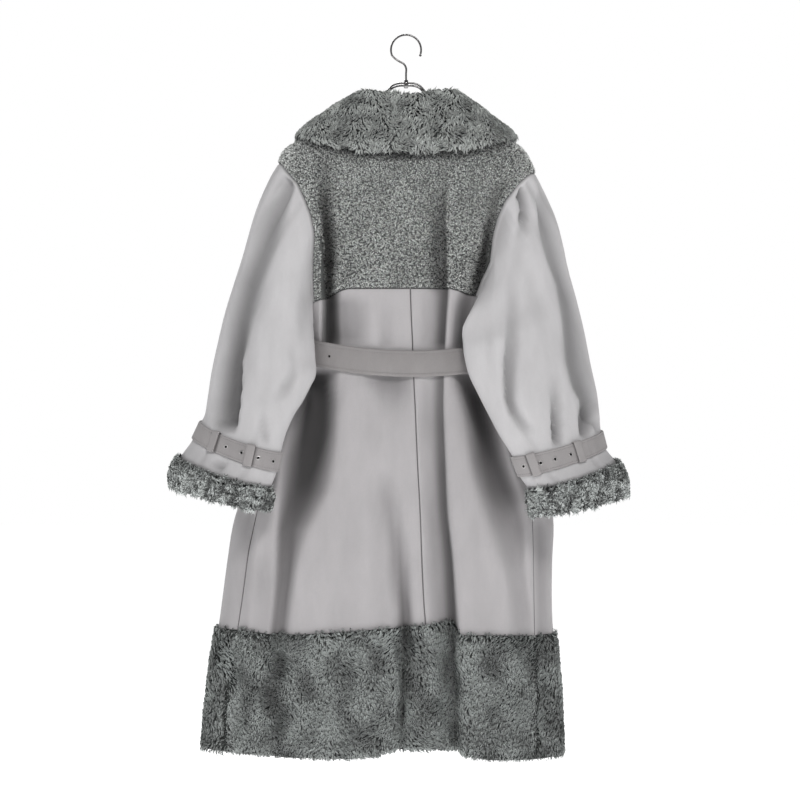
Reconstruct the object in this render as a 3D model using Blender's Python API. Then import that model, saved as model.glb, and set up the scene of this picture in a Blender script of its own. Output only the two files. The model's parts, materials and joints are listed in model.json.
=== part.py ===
"""Faux shearling coat on a wire hanger.

Metres, +Z up. The coat's front faces -Y and the wearer's left is +X. The origin is the inside top
of the hanger's hook. Tables are in millimetres.
"""
import math

import bmesh
import bpy
import numpy as np
from mathutils import Vector

MM = 0.001

# Driving dimensions
SEAM_GAP = 0.0004
LAYER_GAP = 0.0020
SUEDE_WALL = 0.0025
FLEECE_WALL = 0.006
FLEECE_PROUD = 0.003
FUR_WALL = 0.012
FUR_PROUD = 0.009
SECTION_POWER = 2.4
FRONT_OVERLAP = 0.060
OVERLAP_BLEND = 0.045
OVERLAP_MARGIN = 0.018
NECK_Z = -0.141

BELT_WIDTH = 0.045
BELT_THICK = 0.004
BELT_Z = -0.566
BELT_SAG = 0.010
BELT_CLEAR = 0.0050
BUCKLE_THICK = 0.0035
BUCKLE_BAR = 0.006
BUCKLE_OPENING = 0.038
STRAP_THICK = 0.003
STRAP_CLEAR = 0.0010
LOOP_WIDTH = 0.015
LOOP_THICK = 0.0022
LOOP_SPARE = 0.004
CUFF_BUCKLE_WIDTH = 0.034
CUFF_BUCKLE_BAR = 0.0045
CUFF_BUCKLE_THICK = 0.003
SEAT_GAP = 0.0003
# Loops of each cuff strap in turns round the sleeve, then the buckle on its hidden side
LOOP_PLACES = {1: (0.223, 0.345), -1: (0.2445, 0.400)}
BUCKLE_PLACE = 0.75
# Keeper of the belt, in turns round it from the centre front
KEEPER_PLACE = 0.085
BELT_COLUMNS = 60
# A seated plate looks this many turns and points each way along its band, and takes the band's
# direction from the points this far from its middle
SEAT_TURNS = 0.12
SEAT_POINTS = 48
SEAT_DIRECTION = 6

WIRE = 0.00165
HOOK_RADIUS = 0.0262
FRAME_SPREAD = 0.016
FRAME_TOP = -0.0847
FRAME_SEAT = (-0.160, -0.170, -0.181, -0.190)
FRAME_REST = 0.0040
HOOK_SWEEP = (195, -22)
HOOK_NECK = [(0.0205, -0.0385), (0.012, -0.0445), (0.003, -0.0500), (0.0, -0.0560),
             (0.0, -0.066), (0.0, -0.0765)]
TIP_RADIUS = 0.0023
TIP_REACH = 0.0026
NUT_RADIUS = 0.0037
NUT_HEIGHT = 0.0040
NUT_Z = -0.0790
CLIP_Z = -0.0853
CLIP_WIDTH = 0.0075
CLIP_SPARE = 0.007
CLIP_HEIGHT = 0.0080
BORE_CLEAR = 0.0003
FRAME_NECK = [(0.0, 0.0), (0.012, -0.0002), (0.022, -0.0032), (0.031, -0.012), (0.042, -0.027),
              (0.062, -0.0493), (0.083, -0.0653)]
FRAME_ENDS = [(0.008, 0.6, -0.0085), (0.010, 0.0, -0.0105), (0.008, -0.6, -0.0085)]

# Body sections: height, wearer's left and right extent, back and front depth
BODY = [
    (-128, 80, -82, 56, -58),
    (-140, 90, -90, 64, -66),
    (-156, 126, -124, 74, -74),
    (-181, 174, -170, 83, -82),
    (-198, 206, -199, 87, -86),
    (-216, 218, -212, 91, -89),
    (-240, 221, -222, 95, -92),
    (-290, 210, -208, 99, -95),
    (-350, 200, -192, 100, -98),
    (-420, 192, -178, 99, -98),
    (-490, 178, -164, 97, -96),
    (-566, 166, -150, 94, -94),
    (-620, 188, -174, 99, -98),
    (-700, 236, -216, 107, -105),
    (-760, 268, -240, 111, -109),
    (-842, 299, -256, 114, -113),
    (-916, 311, -254, 116, -116),
    (-1000, 322, -254, 118, -118),
    (-1090, 335, -260, 120, -120),
    (-1190, 347, -267, 122, -122),
    (-1280, 350, -268, 123, -123),
]
BODY_HEAD = ("z", "left", "right", "back", "front")

# Armhole edges above the yoke's lower seam: height, then x on the left back, right back, left front
# and right front
ARMHOLE = [
    (-221, 226, -228, 226, -228),
    (-222, 218, -228, 219, -228),
    (-227, 213, -228, 215, -228),
    (-233, 209, -228, 211, -228),
    (-239, 205, -227, 207, -227),
    (-240, 204, -218, 206, -219),
    (-244, 201, -212, 203, -214),
    (-251, 195, -204, 197, -207),
    (-263, 185, -192, 189, -198),
    (-292, 172, -170, 177, -180),
    (-318, 162, -158, 169, -168),
    (-350, 156, -149, 163, -157),
    (-400, 159, -143, 161, -150),
    (-422, 159, -132, 160, -149),
    (-446, 158, -122, 160, -148),
    (-466, 157, -116, 160, -148),
]
ARMHOLE_HEAD = ("z", "left_back", "right_back", "left_front", "right_front")
ARMHOLE_TOP = {1: -0.2215, -1: -0.2390}
ARMHOLE_BOTTOM = -0.4860
SHOULDER_SEAM = math.radians(97)

# Long lines of the back, as x at each height: left side seam, left valley, centre seam, foot and
# crest of the knife fold, right valley and right side seam. 999 stands for the widest place.
SEAMS = [
    (-120, 999, 150, -7, -68, -75, -134, -999),
    (-250, 999, 146, -7, -68, -75, -132, -999),
    (-300, 999, 139, -7, -68, -75, -129, -999),
    (-360, 999, 135, -7, -68, -75, -125, -999),
    (-445, 999, 134, -7, -68, -75, -117, -999),
    (-500, 999, 134, -9, -65, -71, -117, -999),
    (-545, 999, 135, -11, -63, -69, -117, -999),
    (-546, 170, 135, -11, -63, -69, -117, -153),
    (-566, 167, 135, -12, -62, -68, -117, -151),
    (-600, 179, 146, -13, -61, -67, -134, -164),
    (-640, 193, 160, -15, -60, -66, -142, -177),
    (-690, 213, 170, -17, -61, -68, -147, -193),
    (-737, 232, 178, -19, -63, -70, -151, -206),
    (-833, 257, 196, -24, -67, -75, -163, -216),
    (-893, 270, 206, -26, -74, -81, -167, -218),
    (-978, 281, 217, -30, -79, -88, -169, -219),
    (-1030, 289, 223, -34, -81, -92, -170, -220),
    (-1137, 300, 229, -37, -86, -99, -172, -220),
    (-1280, 311, 236, -41, -89, -104, -174, -219),
]
SEAM_HEAD = ("z", "side_left", "valley_left", "centre", "foot", "crest", "valley_right",
             "side_right")

# Soft folds of the back: each is a valley with rows of height, x, depth, width towards +X and -X.
# The first two groups follow the valley lines of the table above, so their x is None.
BACK_FOLDS = {
    "valley_left": [
        (-250, None, 2, 14, 16), (-300, None, 16, 14, 20), (-360, None, 28, 14, 24),
        (-440, None, 30, 14, 26), (-500, None, 24, 17, 26), (-545, None, 10, 20, 22),
        (-566, None, 0, 22, 22), (-590, None, 0, 24, 26), (-620, None, 22, 24, 30),
        (-660, None, 38, 26, 36), (-720, None, 40, 30, 44), (-800, None, 34, 32, 46),
        (-860, None, 26, 30, 42), (-940, None, 18, 26, 36), (-1040, None, 14, 24, 32),
        (-1150, None, 11, 26, 34), (-1280, None, 8, 28, 36)],
    "valley_right": [
        (-260, None, 2, 18, 16), (-330, None, 14, 20, 18), (-400, None, 20, 22, 20),
        (-450, None, 24, 24, 24), (-490, None, 30, 26, 34), (-530, None, 16, 24, 30),
        (-560, None, 0, 22, 26), (-600, None, 0, 22, 24), (-660, None, 22, 26, 26),
        (-740, None, 28, 28, 30), (-820, None, 22, 30, 30), (-920, None, 12, 30, 28),
        (-1040, None, 7, 30, 28), (-1280, None, 7, 30, 28)],
    "middle of the skirt": [
        (-700, 30, 0, 26, 22), (-800, 30, 5, 26, 20), (-900, 18, 9, 26, 18),
        (-1000, 8, 13, 26, 18), (-1040, 6, 16, 26, 18), (-1150, 8, 20, 24, 20),
        (-1260, 10, 22, 26, 22)],
    "left edge of the skirt": [
        (-820, 280, 0, 12, 14), (-900, 284, 6, 12, 14), (-1040, 292, 8, 12, 16),
        (-1260, 306, 8, 14, 18)],
    "under the belt, left": [
        (-590, 84, 0, 16, 16), (-630, 88, 5, 18, 22), (-700, 96, 3, 20, 26),
        (-780, 100, 0, 20, 26)],
}
# Soft folds of the front
FRONT_FOLDS = {
    "left chest": [
        (-250, 120, 0, 20, 20), (-330, 118, 10, 20, 22), (-430, 122, 14, 20, 22),
        (-520, 118, 6, 18, 20), (-560, 116, 0, 18, 20)],
    "right chest": [
        (-250, -118, 0, 20, 20), (-330, -116, 9, 20, 20), (-430, -116, 13, 20, 20),
        (-520, -112, 6, 18, 18), (-560, -110, 0, 18, 18)],
    "left skirt": [
        (-600, 130, 0, 24, 26), (-700, 150, 20, 28, 32), (-850, 172, 22, 30, 36),
        (-1040, 190, 14, 28, 34), (-1260, 200, 12, 28, 34)],
    "right skirt": [
        (-600, -104, 0, 22, 22), (-700, -128, 18, 28, 28), (-850, -146, 20, 32, 30),
        (-1040, -158, 13, 30, 30), (-1260, -164, 12, 30, 30)],
    "middle of the skirt": [
        (-640, 96, 0, 22, 22), (-800, 104, 8, 24, 24), (-1040, 112, 12, 26, 26),
        (-1260, 116, 13, 28, 28)],
}
# The back's knife fold: height, how far the cloth at its foot lies in
KNIFE = [(-235, 0), (-290, 7), (-440, 9), (-530, 4), (-566, 0), (-600, 0), (-640, 9),
         (-760, 14), (-900, 17), (-1040, 19), (-1260, 22)]
KNIFE_HEAD = ("z", "depth")
KNIFE_SPREAD = 46 * MM

# Seam between body and hem band, and the band's lower edge, across the back from left to right
HEM_TOP = [(280, -1027), (230, -1032), (173, -1031), (117, -1027), (71, -1023), (26, -1020),
           (-34, -1014), (-81, -1010), (-93, -1032), (-137, -1033), (-178, -1035), (-205, -1037)]
HEM_BOTTOM = [(290, -1234), (206, -1238), (93, -1239), (49, -1233), (26, -1223), (5, -1215),
              (-22, -1219), (-58, -1221), (-89, -1221), (-105, -1236), (-137, -1243), (-205, -1246)]
YOKE_BOTTOM = [(157, -465), (139, -459.5), (116, -449), (100, -444), (-58, -444),
               (-75, -444), (-91, -448), (-105, -453), (-122, -455)]
# The same two lines across the front
FRONT_HEM_TOP = [(280, -1027), (180, -1030), (60, -1036), (-60, -1038), (-150, -1036), (-205, -1037)]
FRONT_HEM_BOTTOM = [(290, -1234), (200, -1240), (90, -1252), (0, -1257), (-90, -1256),
                    (-150, -1250), (-205, -1246)]
FRONT_YOKE_BOTTOM = -0.445
# The fronts' free edge: heights, and how far it lies from the centre on its own side
NECKLINE = [(-0.350, -FRONT_OVERLAP), (-0.310, -0.042), (-0.255, 0.0), (-0.205, 0.040),
            (-0.165, 0.068), (-0.140, 0.085)]

# Level rows of points in the body's zones. The panels have a few soft rows above their first one.
YOKE_ROWS = (-0.160, -0.181, -0.201, -0.2215, -0.2265, -0.233, -0.239, -0.2435, -0.251, -0.263,
             -0.282, -0.310, -0.345, -0.385, -0.422)
SOFT_ROWS = 2
PANEL_ROWS = (-0.515, -0.545, -0.580, -0.615, -0.650, -0.690, -0.730, -0.775, -0.820, -0.870,
              -0.925, -0.980)
HEM_ROWS = (-1.065, -1.110, -1.155, -1.190)
YOKE_COLUMNS = (3, 10, 4, 1, 4)
BACK_COLUMNS = (5, 3, 10, 4, 1, 4, 6)
BACK_LEFT = 3
FRONT_COLUMNS = (4, 9)
CORNER_BLEND = (-0.46, -0.70)


# Sleeve sections, from just past the armhole to the bottom of the fur: the outer end's x, y, z, the
# inner end's x, y, z and the half depth across.
SLEEVE = {
    1: [
        (231, -2, -236, 198, 4, -496, 66),
        (246, -4, -268, 191, 28, -510, 71),
        (262, -5, -308, 178, 52, -525, 72),
        (279, -6, -360, 163, 72, -546, 70),
        (296, -5, -418, 154, 84, -571, 67),
        (313, -2, -477, 154, 92, -593, 64),
        (325, 4, -530, 163, 97, -612, 61),
        (335, 12, -580, 175, 102, -636, 58),
        (341, 22, -625, 189, 110, -658, 54),
        (345, 30, -655, 203, 116, -690, 50),
        (351, 36, -669, 211, 120, -721, 48),
        (364, 44, -698, 218, 124, -754, 48),
        (386, 50, -730, 228, 129, -781, 55),
        (397, 54, -752, 229, 133, -801, 58),
        (397, 56, -776, 233, 135, -818, 56),
    ],
    -1: [
        (-231, -2, -252, -188, 6, -488, 66),
        (-243, -4, -276, -178, 58, -492, 70),
        (-257, -3, -310, -138, 104, -490, 68),
        (-271, -3, -358, -104, 112, -492, 65),
        (-283, -4, -408, -96, 113, -508, 62),
        (-295, -2, -456, -96, 119, -545, 60),
        (-308, 4, -512, -104, 123, -587, 58),
        (-319, 12, -572, -121, 127, -624, 56),
        (-329, 22, -622, -138, 130, -658, 53),
        (-332, 30, -656, -156, 132, -692, 50),
        (-334, 36, -685, -178, 134, -728, 48),
        (-341, 42, -714, -191, 134, -762, 48),
        (-358, 47, -737, -205, 134, -783, 55),
        (-371, 50, -764, -210, 135, -809, 58),
        (-373, 52, -792, -215, 136, -827, 56),
    ],
}
SLEEVE_HEAD = ("outer_x", "outer_y", "outer_z", "inner_x", "inner_y", "inner_z", "depth")
SLEEVE_POWER = 2.3
UNDERSIDE_FLAT = 0.52
# Rows that each part of a sleeve is made on, counted from 1
SUEDE_ROWS = (1, 1.6, 2.3, 3, 4, 5, 6, 7, 8, 9, 10, 10.95, 11.9, 12.975)
STRAP_ROWS = (11, 12)
CUFF_ROWS = (13.01, 13.5, 14.1, 15)
# Row where a ring's points stand evenly round it, no longer as round the armhole
EVEN_ROW = 4.0

# Sleeve folds: side, then rows of section number, place across the back of the sleeve (0 at the
# outer end, 1 at the inner end, up to 2 round the front), depth and half width as shares of a turn
SLEEVE_FOLDS = [
    (1, [(0.6, 0.22, 3, 0.035), (2, 0.17, 9, 0.035), (4, 0.16, 11, 0.035), (6, 0.16, 10, 0.035),
         (8, 0.19, 7, 0.035), (10, 0.24, 3, 0.04), (12, 0.26, 0, 0.04)]),
    (1, [(5, 0.74, 0, 0.05), (7, 0.70, 5, 0.05), (9, 0.66, 6, 0.05), (10, 0.62, 2, 0.05),
         (12, 0.62, 0, 0.05)]),
    (1, [(1, 1.40, 2, 0.05), (4, 1.42, 9, 0.05), (8, 1.46, 8, 0.05), (10, 1.5, 2, 0.05)]),
    (1, [(4, 1.72, 0, 0.05), (7, 1.70, 7, 0.05), (10, 1.68, 2, 0.05)]),
    (-1, [(0.6, 0.30, 3, 0.035), (2, 0.22, 8, 0.035), (4, 0.17, 11, 0.035), (6, 0.12, 10, 0.035),
          (8, 0.16, 7, 0.035), (10, 0.20, 3, 0.035), (12, 0.20, 0, 0.035)]),
    (-1, [(3, 0.74, 0, 0.05), (5, 0.70, 5, 0.05), (7, 0.62, 8, 0.05), (9, 0.60, 7, 0.05),
          (10, 0.62, 2, 0.05), (12, 0.62, 0, 0.05)]),
    (-1, [(1, 1.40, 2, 0.05), (4, 1.44, 9, 0.05), (8, 1.42, 8, 0.05), (10, 1.4, 2, 0.05)]),
    (-1, [(4, 1.72, 0, 0.05), (7, 1.74, 7, 0.05), (10, 1.7, 2, 0.05)]),
]
# Pleats gathered into the sleeve head: side, place round the armhole in turns from the shoulder,
# depth and half width in turns
HEAD_PLEATS = [
    (1, 0.045, 5, 0.018), (1, 0.095, 6, 0.020), (1, 0.145, 4, 0.020), (1, -0.05, 5, 0.018),
    (1, -0.10, 5, 0.020), (-1, 0.045, 5, 0.018), (-1, 0.095, 7, 0.020), (-1, 0.150, 4, 0.020),
    (-1, -0.05, 5, 0.018), (-1, -0.10, 5, 0.020),
]
PLEAT_ROWS = 3.0
# How the sleeve leaves the armhole's seam: a short way on, and out
TURN_UP = 0.004
TURN_OUT = 0.003

# Collar: angle from the centre back, then the roll's x, y, z and the lower edge's x, y, z
COLLAR = [
    (0, 0, 62, -119, 0, 108, -212),
    (25, 40, 58, -115, 58, 106, -210),
    (50, 72, 42, -109, 116, 94, -202),
    (72, 88, 18, -109, 165, 61, -186),
    (90, 94, -8, -114, 185, 12, -175),
    (108, 95, -38, -122, 186, -41, -182),
    (126, 85, -76, -147, 164, -94, -212),
    (142, 63, -108, -184, 136, -124, -244),
    (156, 39, -124, -226, 100, -137, -284),
    (168, 15, -131, -262, 56, -142, -322),
]
COLLAR_HEAD = ("angle", "roll_x", "roll_y", "roll_z", "edge_x", "edge_y", "edge_z")
# Collar's cross-section: share of the way from roll to edge, height over that line
COLLAR_PROFILE = [
    (-0.13, -6), (-0.10, 5), (0.06, 12), (0.28, 15), (0.52, 15), (0.76, 13), (0.94, 9),
    (1.05, 2), (1.03, -3), (0.86, -2), (0.62, 0), (0.36, 2), (0.20, -3), (0.15, -14),
    (0.02, -15),
]
COLLAR_STEPS = 34
# Angles between which the collar's stand grows thinner, by how much, and the stand's height
COLLAR_THIN = (95, 125)
COLLAR_THINNER = 0.6
COLLAR_STAND = -5

SUEDE_COLOUR = (0.44, 0.42, 0.43)
BELT_COLOUR = (0.31, 0.30, 0.30)
FUR_COLOUR = (0.12, 0.13, 0.125)
FLEECE_COLOUR = (0.20, 0.205, 0.20)
METAL_COLOUR = (0.16, 0.16, 0.16)


def clear_scene():
    for item in list(bpy.data.objects):
        bpy.data.objects.remove(item, do_unlink=True)


def material(name, colour, roughness, metallic=0.0):
    made = bpy.data.materials.new(name)
    made.use_nodes = True
    shader = made.node_tree.nodes["Principled BSDF"]
    shader.inputs["Base Color"].default_value = (*colour, 1.0)
    shader.inputs["Roughness"].default_value = roughness
    shader.inputs["Metallic"].default_value = metallic
    made.diffuse_color = (*colour, 1.0)
    return made


def smooth(places, values, at):
    """Cubic curve through rows, with the slope of its neighbours at each row."""
    places = np.asarray(places, float)
    values = np.asarray(values, float)
    if places[0] > places[-1]:
        places = places[::-1]
        values = values[::-1]
    at = np.clip(at, places[0], places[-1])
    slopes = np.gradient(values, places)
    left = np.clip(np.searchsorted(places, at) - 1, 0, len(places) - 2)
    span = places[left + 1] - places[left]
    t = (at - places[left]) / span
    h00 = 2 * t**3 - 3 * t**2 + 1
    h10 = t**3 - 2 * t**2 + t
    h01 = 3 * t**2 - 2 * t**3
    h11 = t**3 - t**2
    return (h00 * values[left] + h10 * span * slopes[left] + h01 * values[left + 1]
            + h11 * span * slopes[left + 1])


def column(table, head, name, z, curve=smooth):
    """One column of a table of millimetres, read at heights z in metres."""
    rows = np.asarray(table, float)
    return curve(rows[:, 0] * MM, rows[:, head.index(name)] * MM, z)


def straight(places, values, at):
    order = np.argsort(places)
    return np.interp(at, np.asarray(places)[order], np.asarray(values)[order])


def across(table, x):
    """Height of a seam given as rows of x and z in millimetres."""
    rows = np.asarray(table, float) * MM
    return straight(rows[:, 0], rows[:, 1], x)


def bump(offset, plus, minus):
    """A soft valley: 1 at offset 0, 0 past its two widths."""
    share = np.where(offset > 0, offset / plus, -offset / minus)
    return 0.5 + 0.5 * np.cos(np.pi * np.clip(share, 0, 1))


def section(z):
    left = column(BODY, BODY_HEAD, "left", z)
    right = column(BODY, BODY_HEAD, "right", z)
    back = column(BODY, BODY_HEAD, "back", z)
    front = column(BODY, BODY_HEAD, "front", z)
    return (left + right) / 2, (left - right) / 2, back, front


def angle_at(x, z, side):
    """Angle round the body, from the centre back towards +X, of a place x on its back or front."""
    middle, half, _, _ = section(z)
    share = np.clip((x - middle) / half, -1, 1)
    angle = np.arcsin(np.abs(share) ** (SECTION_POWER / 2)) * np.sign(share)
    return angle if side == "back" else np.pi - angle


def base(angle, z):
    """The body without its folds: a superellipse at each height."""
    middle, half, back, front = section(z)
    power = 2 / SECTION_POWER
    sine = np.sin(angle)
    cosine = np.cos(angle)
    x = middle + half * np.sign(sine) * np.abs(sine) ** power
    y = np.where(cosine > 0, back, -front) * np.sign(cosine) * np.abs(cosine) ** power
    return x, y


def folds_at(x, z, folds):
    total = np.zeros(np.shape(x))
    for name, table in folds.items():
        rows = np.asarray([[0.0 if v is None else v for v in row] for row in table]) * MM
        place, depth, plus, minus = [straight(rows[:, 0], rows[:, n], z) for n in (1, 2, 3, 4)]
        if name in SEAM_HEAD:
            place = column(SEAMS, SEAM_HEAD, name, z)
        inside = (z <= rows[:, 0].max()) & (z >= rows[:, 0].min())
        total = total + np.where(inside, depth * bump(x - place, plus, minus), 0)
    return total


def knife_at(x, z):
    """The knife fold: the cloth falls in from the crest to the foot, then eases out again."""
    depth = column(KNIFE, KNIFE_HEAD, "depth", z, straight)
    foot = column(SEAMS, SEAM_HEAD, "foot", z)
    crest = column(SEAMS, SEAM_HEAD, "crest", z)
    rise = np.clip((foot - x) / (foot - crest), 0, 1)
    ease = bump(x - foot, KNIFE_SPREAD, 1.0)
    return depth * np.where(x < foot, 1 - rise, ease)


def body(angle, z, out=0.0):
    """A point of the coat's body, moved out from its unfolded surface by out."""
    angle = np.asarray(angle, float) + 0 * z
    z = np.asarray(z, float) + 0 * angle
    x, y = base(angle, z)
    cosine = np.cos(angle)
    fade = np.clip(np.abs(cosine) * 2.2, 0, 1)
    back = (folds_at(x, z, BACK_FOLDS) + knife_at(x, z)) * fade
    front = folds_at(x, z, FRONT_FOLDS) * fade
    y = y - np.where(cosine > 0, back, -front)
    point = np.stack([x, y, z], -1)
    return point + normal(angle, z) * np.asarray(out)[..., None] if np.any(out) else point


def normal(angle, z):
    """Outward direction of the unfolded body."""
    step = 0.02
    x0, y0 = base(angle - step, z)
    x1, y1 = base(angle + step, z)
    below = base(angle, z - 0.004)
    above = base(angle, z + 0.004)
    around = np.stack([x1 - x0, y1 - y0, 0 * x0], -1)
    upward = np.stack([above[0] - below[0], above[1] - below[1], 0 * x0 + 0.008], -1)
    out = np.cross(upward, around)
    return out / np.linalg.norm(out, axis=-1, keepdims=True)


def seam_angle(name, z):
    """Angle of one of the back's long lines at height z."""
    x = column(SEAMS, SEAM_HEAD, name, z, straight if name.startswith("side") else smooth)
    return angle_at(x, z, "back")


def armhole_name(side, face):
    return ("left_" if side > 0 else "right_") + face


def armhole_angle(side, face, z):
    """Edge of the armhole at height z, from the shoulder down to the yoke's lower seam."""
    return angle_at(column(ARMHOLE, ARMHOLE_HEAD, armhole_name(side, face), z, straight), z, face)


def yoke_edge(side, face, z):
    """Outer edge of the yoke: shoulder seam, then armhole."""
    shoulder = side * SHOULDER_SEAM
    if face == "front" and side < 0:
        shoulder = shoulder + 2 * np.pi
    return np.where(z > ARMHOLE_TOP[side] + 1e-6, shoulder, armhole_angle(side, face, z))


def side_seam(side, face, z):
    angle = seam_angle("side_left" if side > 0 else "side_right", z)
    return angle if side > 0 or face == "back" else angle + 2 * np.pi


def corner_height(side, face):
    """Height of the point where the yoke's lower seam meets the armhole."""
    if face == "front":
        return FRONT_YOKE_BOTTOM
    height = -0.455
    for _ in range(6):
        x = column(ARMHOLE, ARMHOLE_HEAD, armhole_name(side, face), height, straight)
        height = float(across(YOKE_BOTTOM, x))
    return height


def corner_line(side, face, inner):
    """A line down the panel from the armhole's lower corner; inner is the line it starts to follow.

    Further down it keeps an even share of the way from the inner line to the side seam.
    """
    height = corner_height(side, face)
    corner = float(armhole_angle(side, face, height))
    share = (corner - float(inner(height))) / (float(side_seam(side, face, height))
                                               - float(inner(height)))

    def line(z):
        blend = np.clip((CORNER_BLEND[0] - z) / (CORNER_BLEND[0] - CORNER_BLEND[1]), 0, 1)
        even = share * (1 - blend) + 0.5 * blend
        return inner(z) * (1 - even) + side_seam(side, face, z) * even
    return line


def underarm(side, face, seam):
    """Upper edge of a panel: the yoke's seam, then the low part of the armhole to the underarm."""
    height = corner_height(side, face)
    corner = float(armhole_angle(side, face, height))
    end = float(side_seam(side, face, ARMHOLE_BOTTOM))

    def line(x, angle):
        share = np.clip((angle - corner) / (end - corner), 0, 1)
        low = height + (ARMHOLE_BOTTOM - height) * np.sin(share * np.pi / 2)
        past = (angle - corner) * (end - corner) > 0
        return np.where(past, low, seam(x, angle))
    return line


def shifted(edge, distance):
    """An edge moved along the surface by a small distance, towards growing angles if positive."""
    def moved(z):
        angle = edge(z)
        a = body(angle, z)
        b = body(angle + 0.01, z)
        reach = np.maximum(np.linalg.norm(b - a, axis=-1), 1e-5)
        return angle + 0.01 * distance / reach
    return moved


def panel_points(lines, counts, top, rows, bottom, out, wall, soft=0, inset=None):
    """Outer and inner points of a panel between lines (angles by height) and two seams.

    A seam gives z by x and angle. The rows between the seams are level, but for the soft ones.
    """
    shares = np.concatenate([np.linspace(n, n + 1, c, endpoint=False) for n, c in enumerate(counts)]
                            + [[len(counts)]])
    low = np.clip(np.floor(shares).astype(int), 0, len(counts) - 1)
    part = (shares - low)[None, :]
    picks = np.arange(len(shares))
    heights = [rows[0] + 0.01] * (soft + 1) + list(rows) + [rows[-1] - 0.01]
    z = np.repeat(np.array(heights)[:, None], len(shares), axis=1)
    for _ in range(8):
        places = np.stack([line(z) for line in lines])
        angle = places[low, :, picks].T * (1 - part) + places[low + 1, :, picks].T * part
        x = body(angle, z)[..., 0]
        z[0] = top(x[0], angle[0])
        z[-1] = bottom(x[-1], angle[-1])
        for n in range(1, soft + 1):
            z[n] = z[0] + (rows[0] - z[0]) * n / (soft + 1)
    outward = normal(angle, z)
    outer = body(angle, z) + outward * out
    if inset is not None:
        outer = outer - outward * inset(outer[..., 0])[..., None]
    return outer, outer - outward * wall


def add_object(name, points, faces, finish):
    mesh = bpy.data.meshes.new(name)
    mesh.from_pydata([tuple(p) for p in points], [], faces)
    tidy = bmesh.new()
    tidy.from_mesh(mesh)
    bmesh.ops.recalc_face_normals(tidy, faces=tidy.faces)
    tidy.to_mesh(mesh)
    tidy.free()
    mesh.materials.append(finish)
    mesh.shade_smooth()
    mesh.set_sharp_from_angle(angle=math.radians(50))
    made = bpy.data.objects.new(name, mesh)
    bpy.context.collection.objects.link(made)
    return made


def cloth(name, outer, inner, finish, closed=False):
    """A wall between two grids of points, closed at its edges, and round on itself if closed.

    The edge faces are split the same way on every piece, so that neighbours meet evenly.
    """
    rows, columns = outer.shape[:2]
    count = rows * columns
    wrap = columns if closed else columns - 1
    faces = []
    for r in range(rows - 1):
        for c in range(wrap):
            a = r * columns + c
            b = r * columns + (c + 1) % columns
            faces.append((a, b, b + columns, a + columns))
            faces.append((count + a, count + a + columns, count + b + columns, count + b))
    edges = [(r * columns + c, r * columns + (c + 1) % columns, r > 0)
             for r in (0, rows - 1) for c in range(wrap)]
    if not closed:
        edges += [(r * columns + c, (r + 1) * columns + c, c == 0)
                  for c in (0, columns - 1) for r in range(rows - 1)]
    for a, b, turned in edges:
        for rim in ((a, count + a, count + b), (a, count + b, b)):
            faces.append(rim[::-1] if turned else rim)
    points = np.concatenate([outer.reshape(-1, 3), inner.reshape(-1, 3)])
    return add_object(name, points, faces, finish)


def level(z):
    return lambda x, angle: z + 0 * x


def below(seam, distance):
    return lambda x, angle: seam(x, angle) - distance


def seam_line(table):
    return lambda x, angle: across(table, x)


def front_edge(side):
    """The front's free edge: a V neckline, then the wrap past the centre."""
    def edge(z):
        heights, reach = np.array(NECKLINE).T
        x = side * np.interp(z, heights, reach)
        return angle_at(x, z, "front")
    return edge


def under_inset(side, depth):
    """The right front passes under the left one, so it steps in near the centre."""
    if side > 0:
        return None
    full = FRONT_OVERLAP + OVERLAP_MARGIN
    return lambda x: depth * np.clip((x + full + OVERLAP_BLEND) / OVERLAP_BLEND, 0, 1)


def make_back(suede, fleece, fur):
    half = SEAM_GAP / 2
    valley_left, centre, foot, crest, valley_right = [
        lambda z, name=name: seam_angle(name, z)
        for name in ("valley_left", "centre", "foot", "crest", "valley_right")]
    left = shifted(lambda z: yoke_edge(1, "back", z), -half)
    right = shifted(lambda z: yoke_edge(-1, "back", z), half)
    yoke_seam = seam_line(YOKE_BOTTOM)
    hem_seam = seam_line(HEM_TOP)
    outer, inner = panel_points([left, valley_left, centre, foot, crest, right], YOKE_COLUMNS,
                                level(NECK_Z), YOKE_ROWS, below(yoke_seam, -half),
                                FLEECE_PROUD, FLEECE_WALL)
    cloth("yoke_back", outer, inner, fleece)

    lines = [shifted(lambda z: side_seam(1, "back", z), -half), corner_line(1, "back", valley_left),
             valley_left, centre, foot, crest, valley_right,
             shifted(lambda z: side_seam(-1, "back", z), half)]
    left_lines = lines[:BACK_LEFT] + [shifted(centre, half)]
    right_lines = [shifted(centre, -half)] + lines[BACK_LEFT + 1:]
    top_left = below(underarm(1, "back", yoke_seam), half)
    top_right = below(underarm(-1, "back", yoke_seam), half)
    outer, inner = panel_points(left_lines, BACK_COLUMNS[:BACK_LEFT], top_left, PANEL_ROWS,
                                below(hem_seam, -half), 0, SUEDE_WALL, SOFT_ROWS)
    cloth("back_panel_left", outer, inner, suede)
    outer, inner = panel_points(right_lines, BACK_COLUMNS[BACK_LEFT:], top_right, PANEL_ROWS,
                                below(hem_seam, -half), 0, SUEDE_WALL, SOFT_ROWS)
    cloth("back_panel_right", outer, inner, suede)
    outer, inner = panel_points(lines, BACK_COLUMNS, below(hem_seam, half), HEM_ROWS,
                                seam_line(HEM_BOTTOM), FUR_PROUD, FUR_WALL)
    cloth("hem_fur_back", outer, inner, fur)


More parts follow.
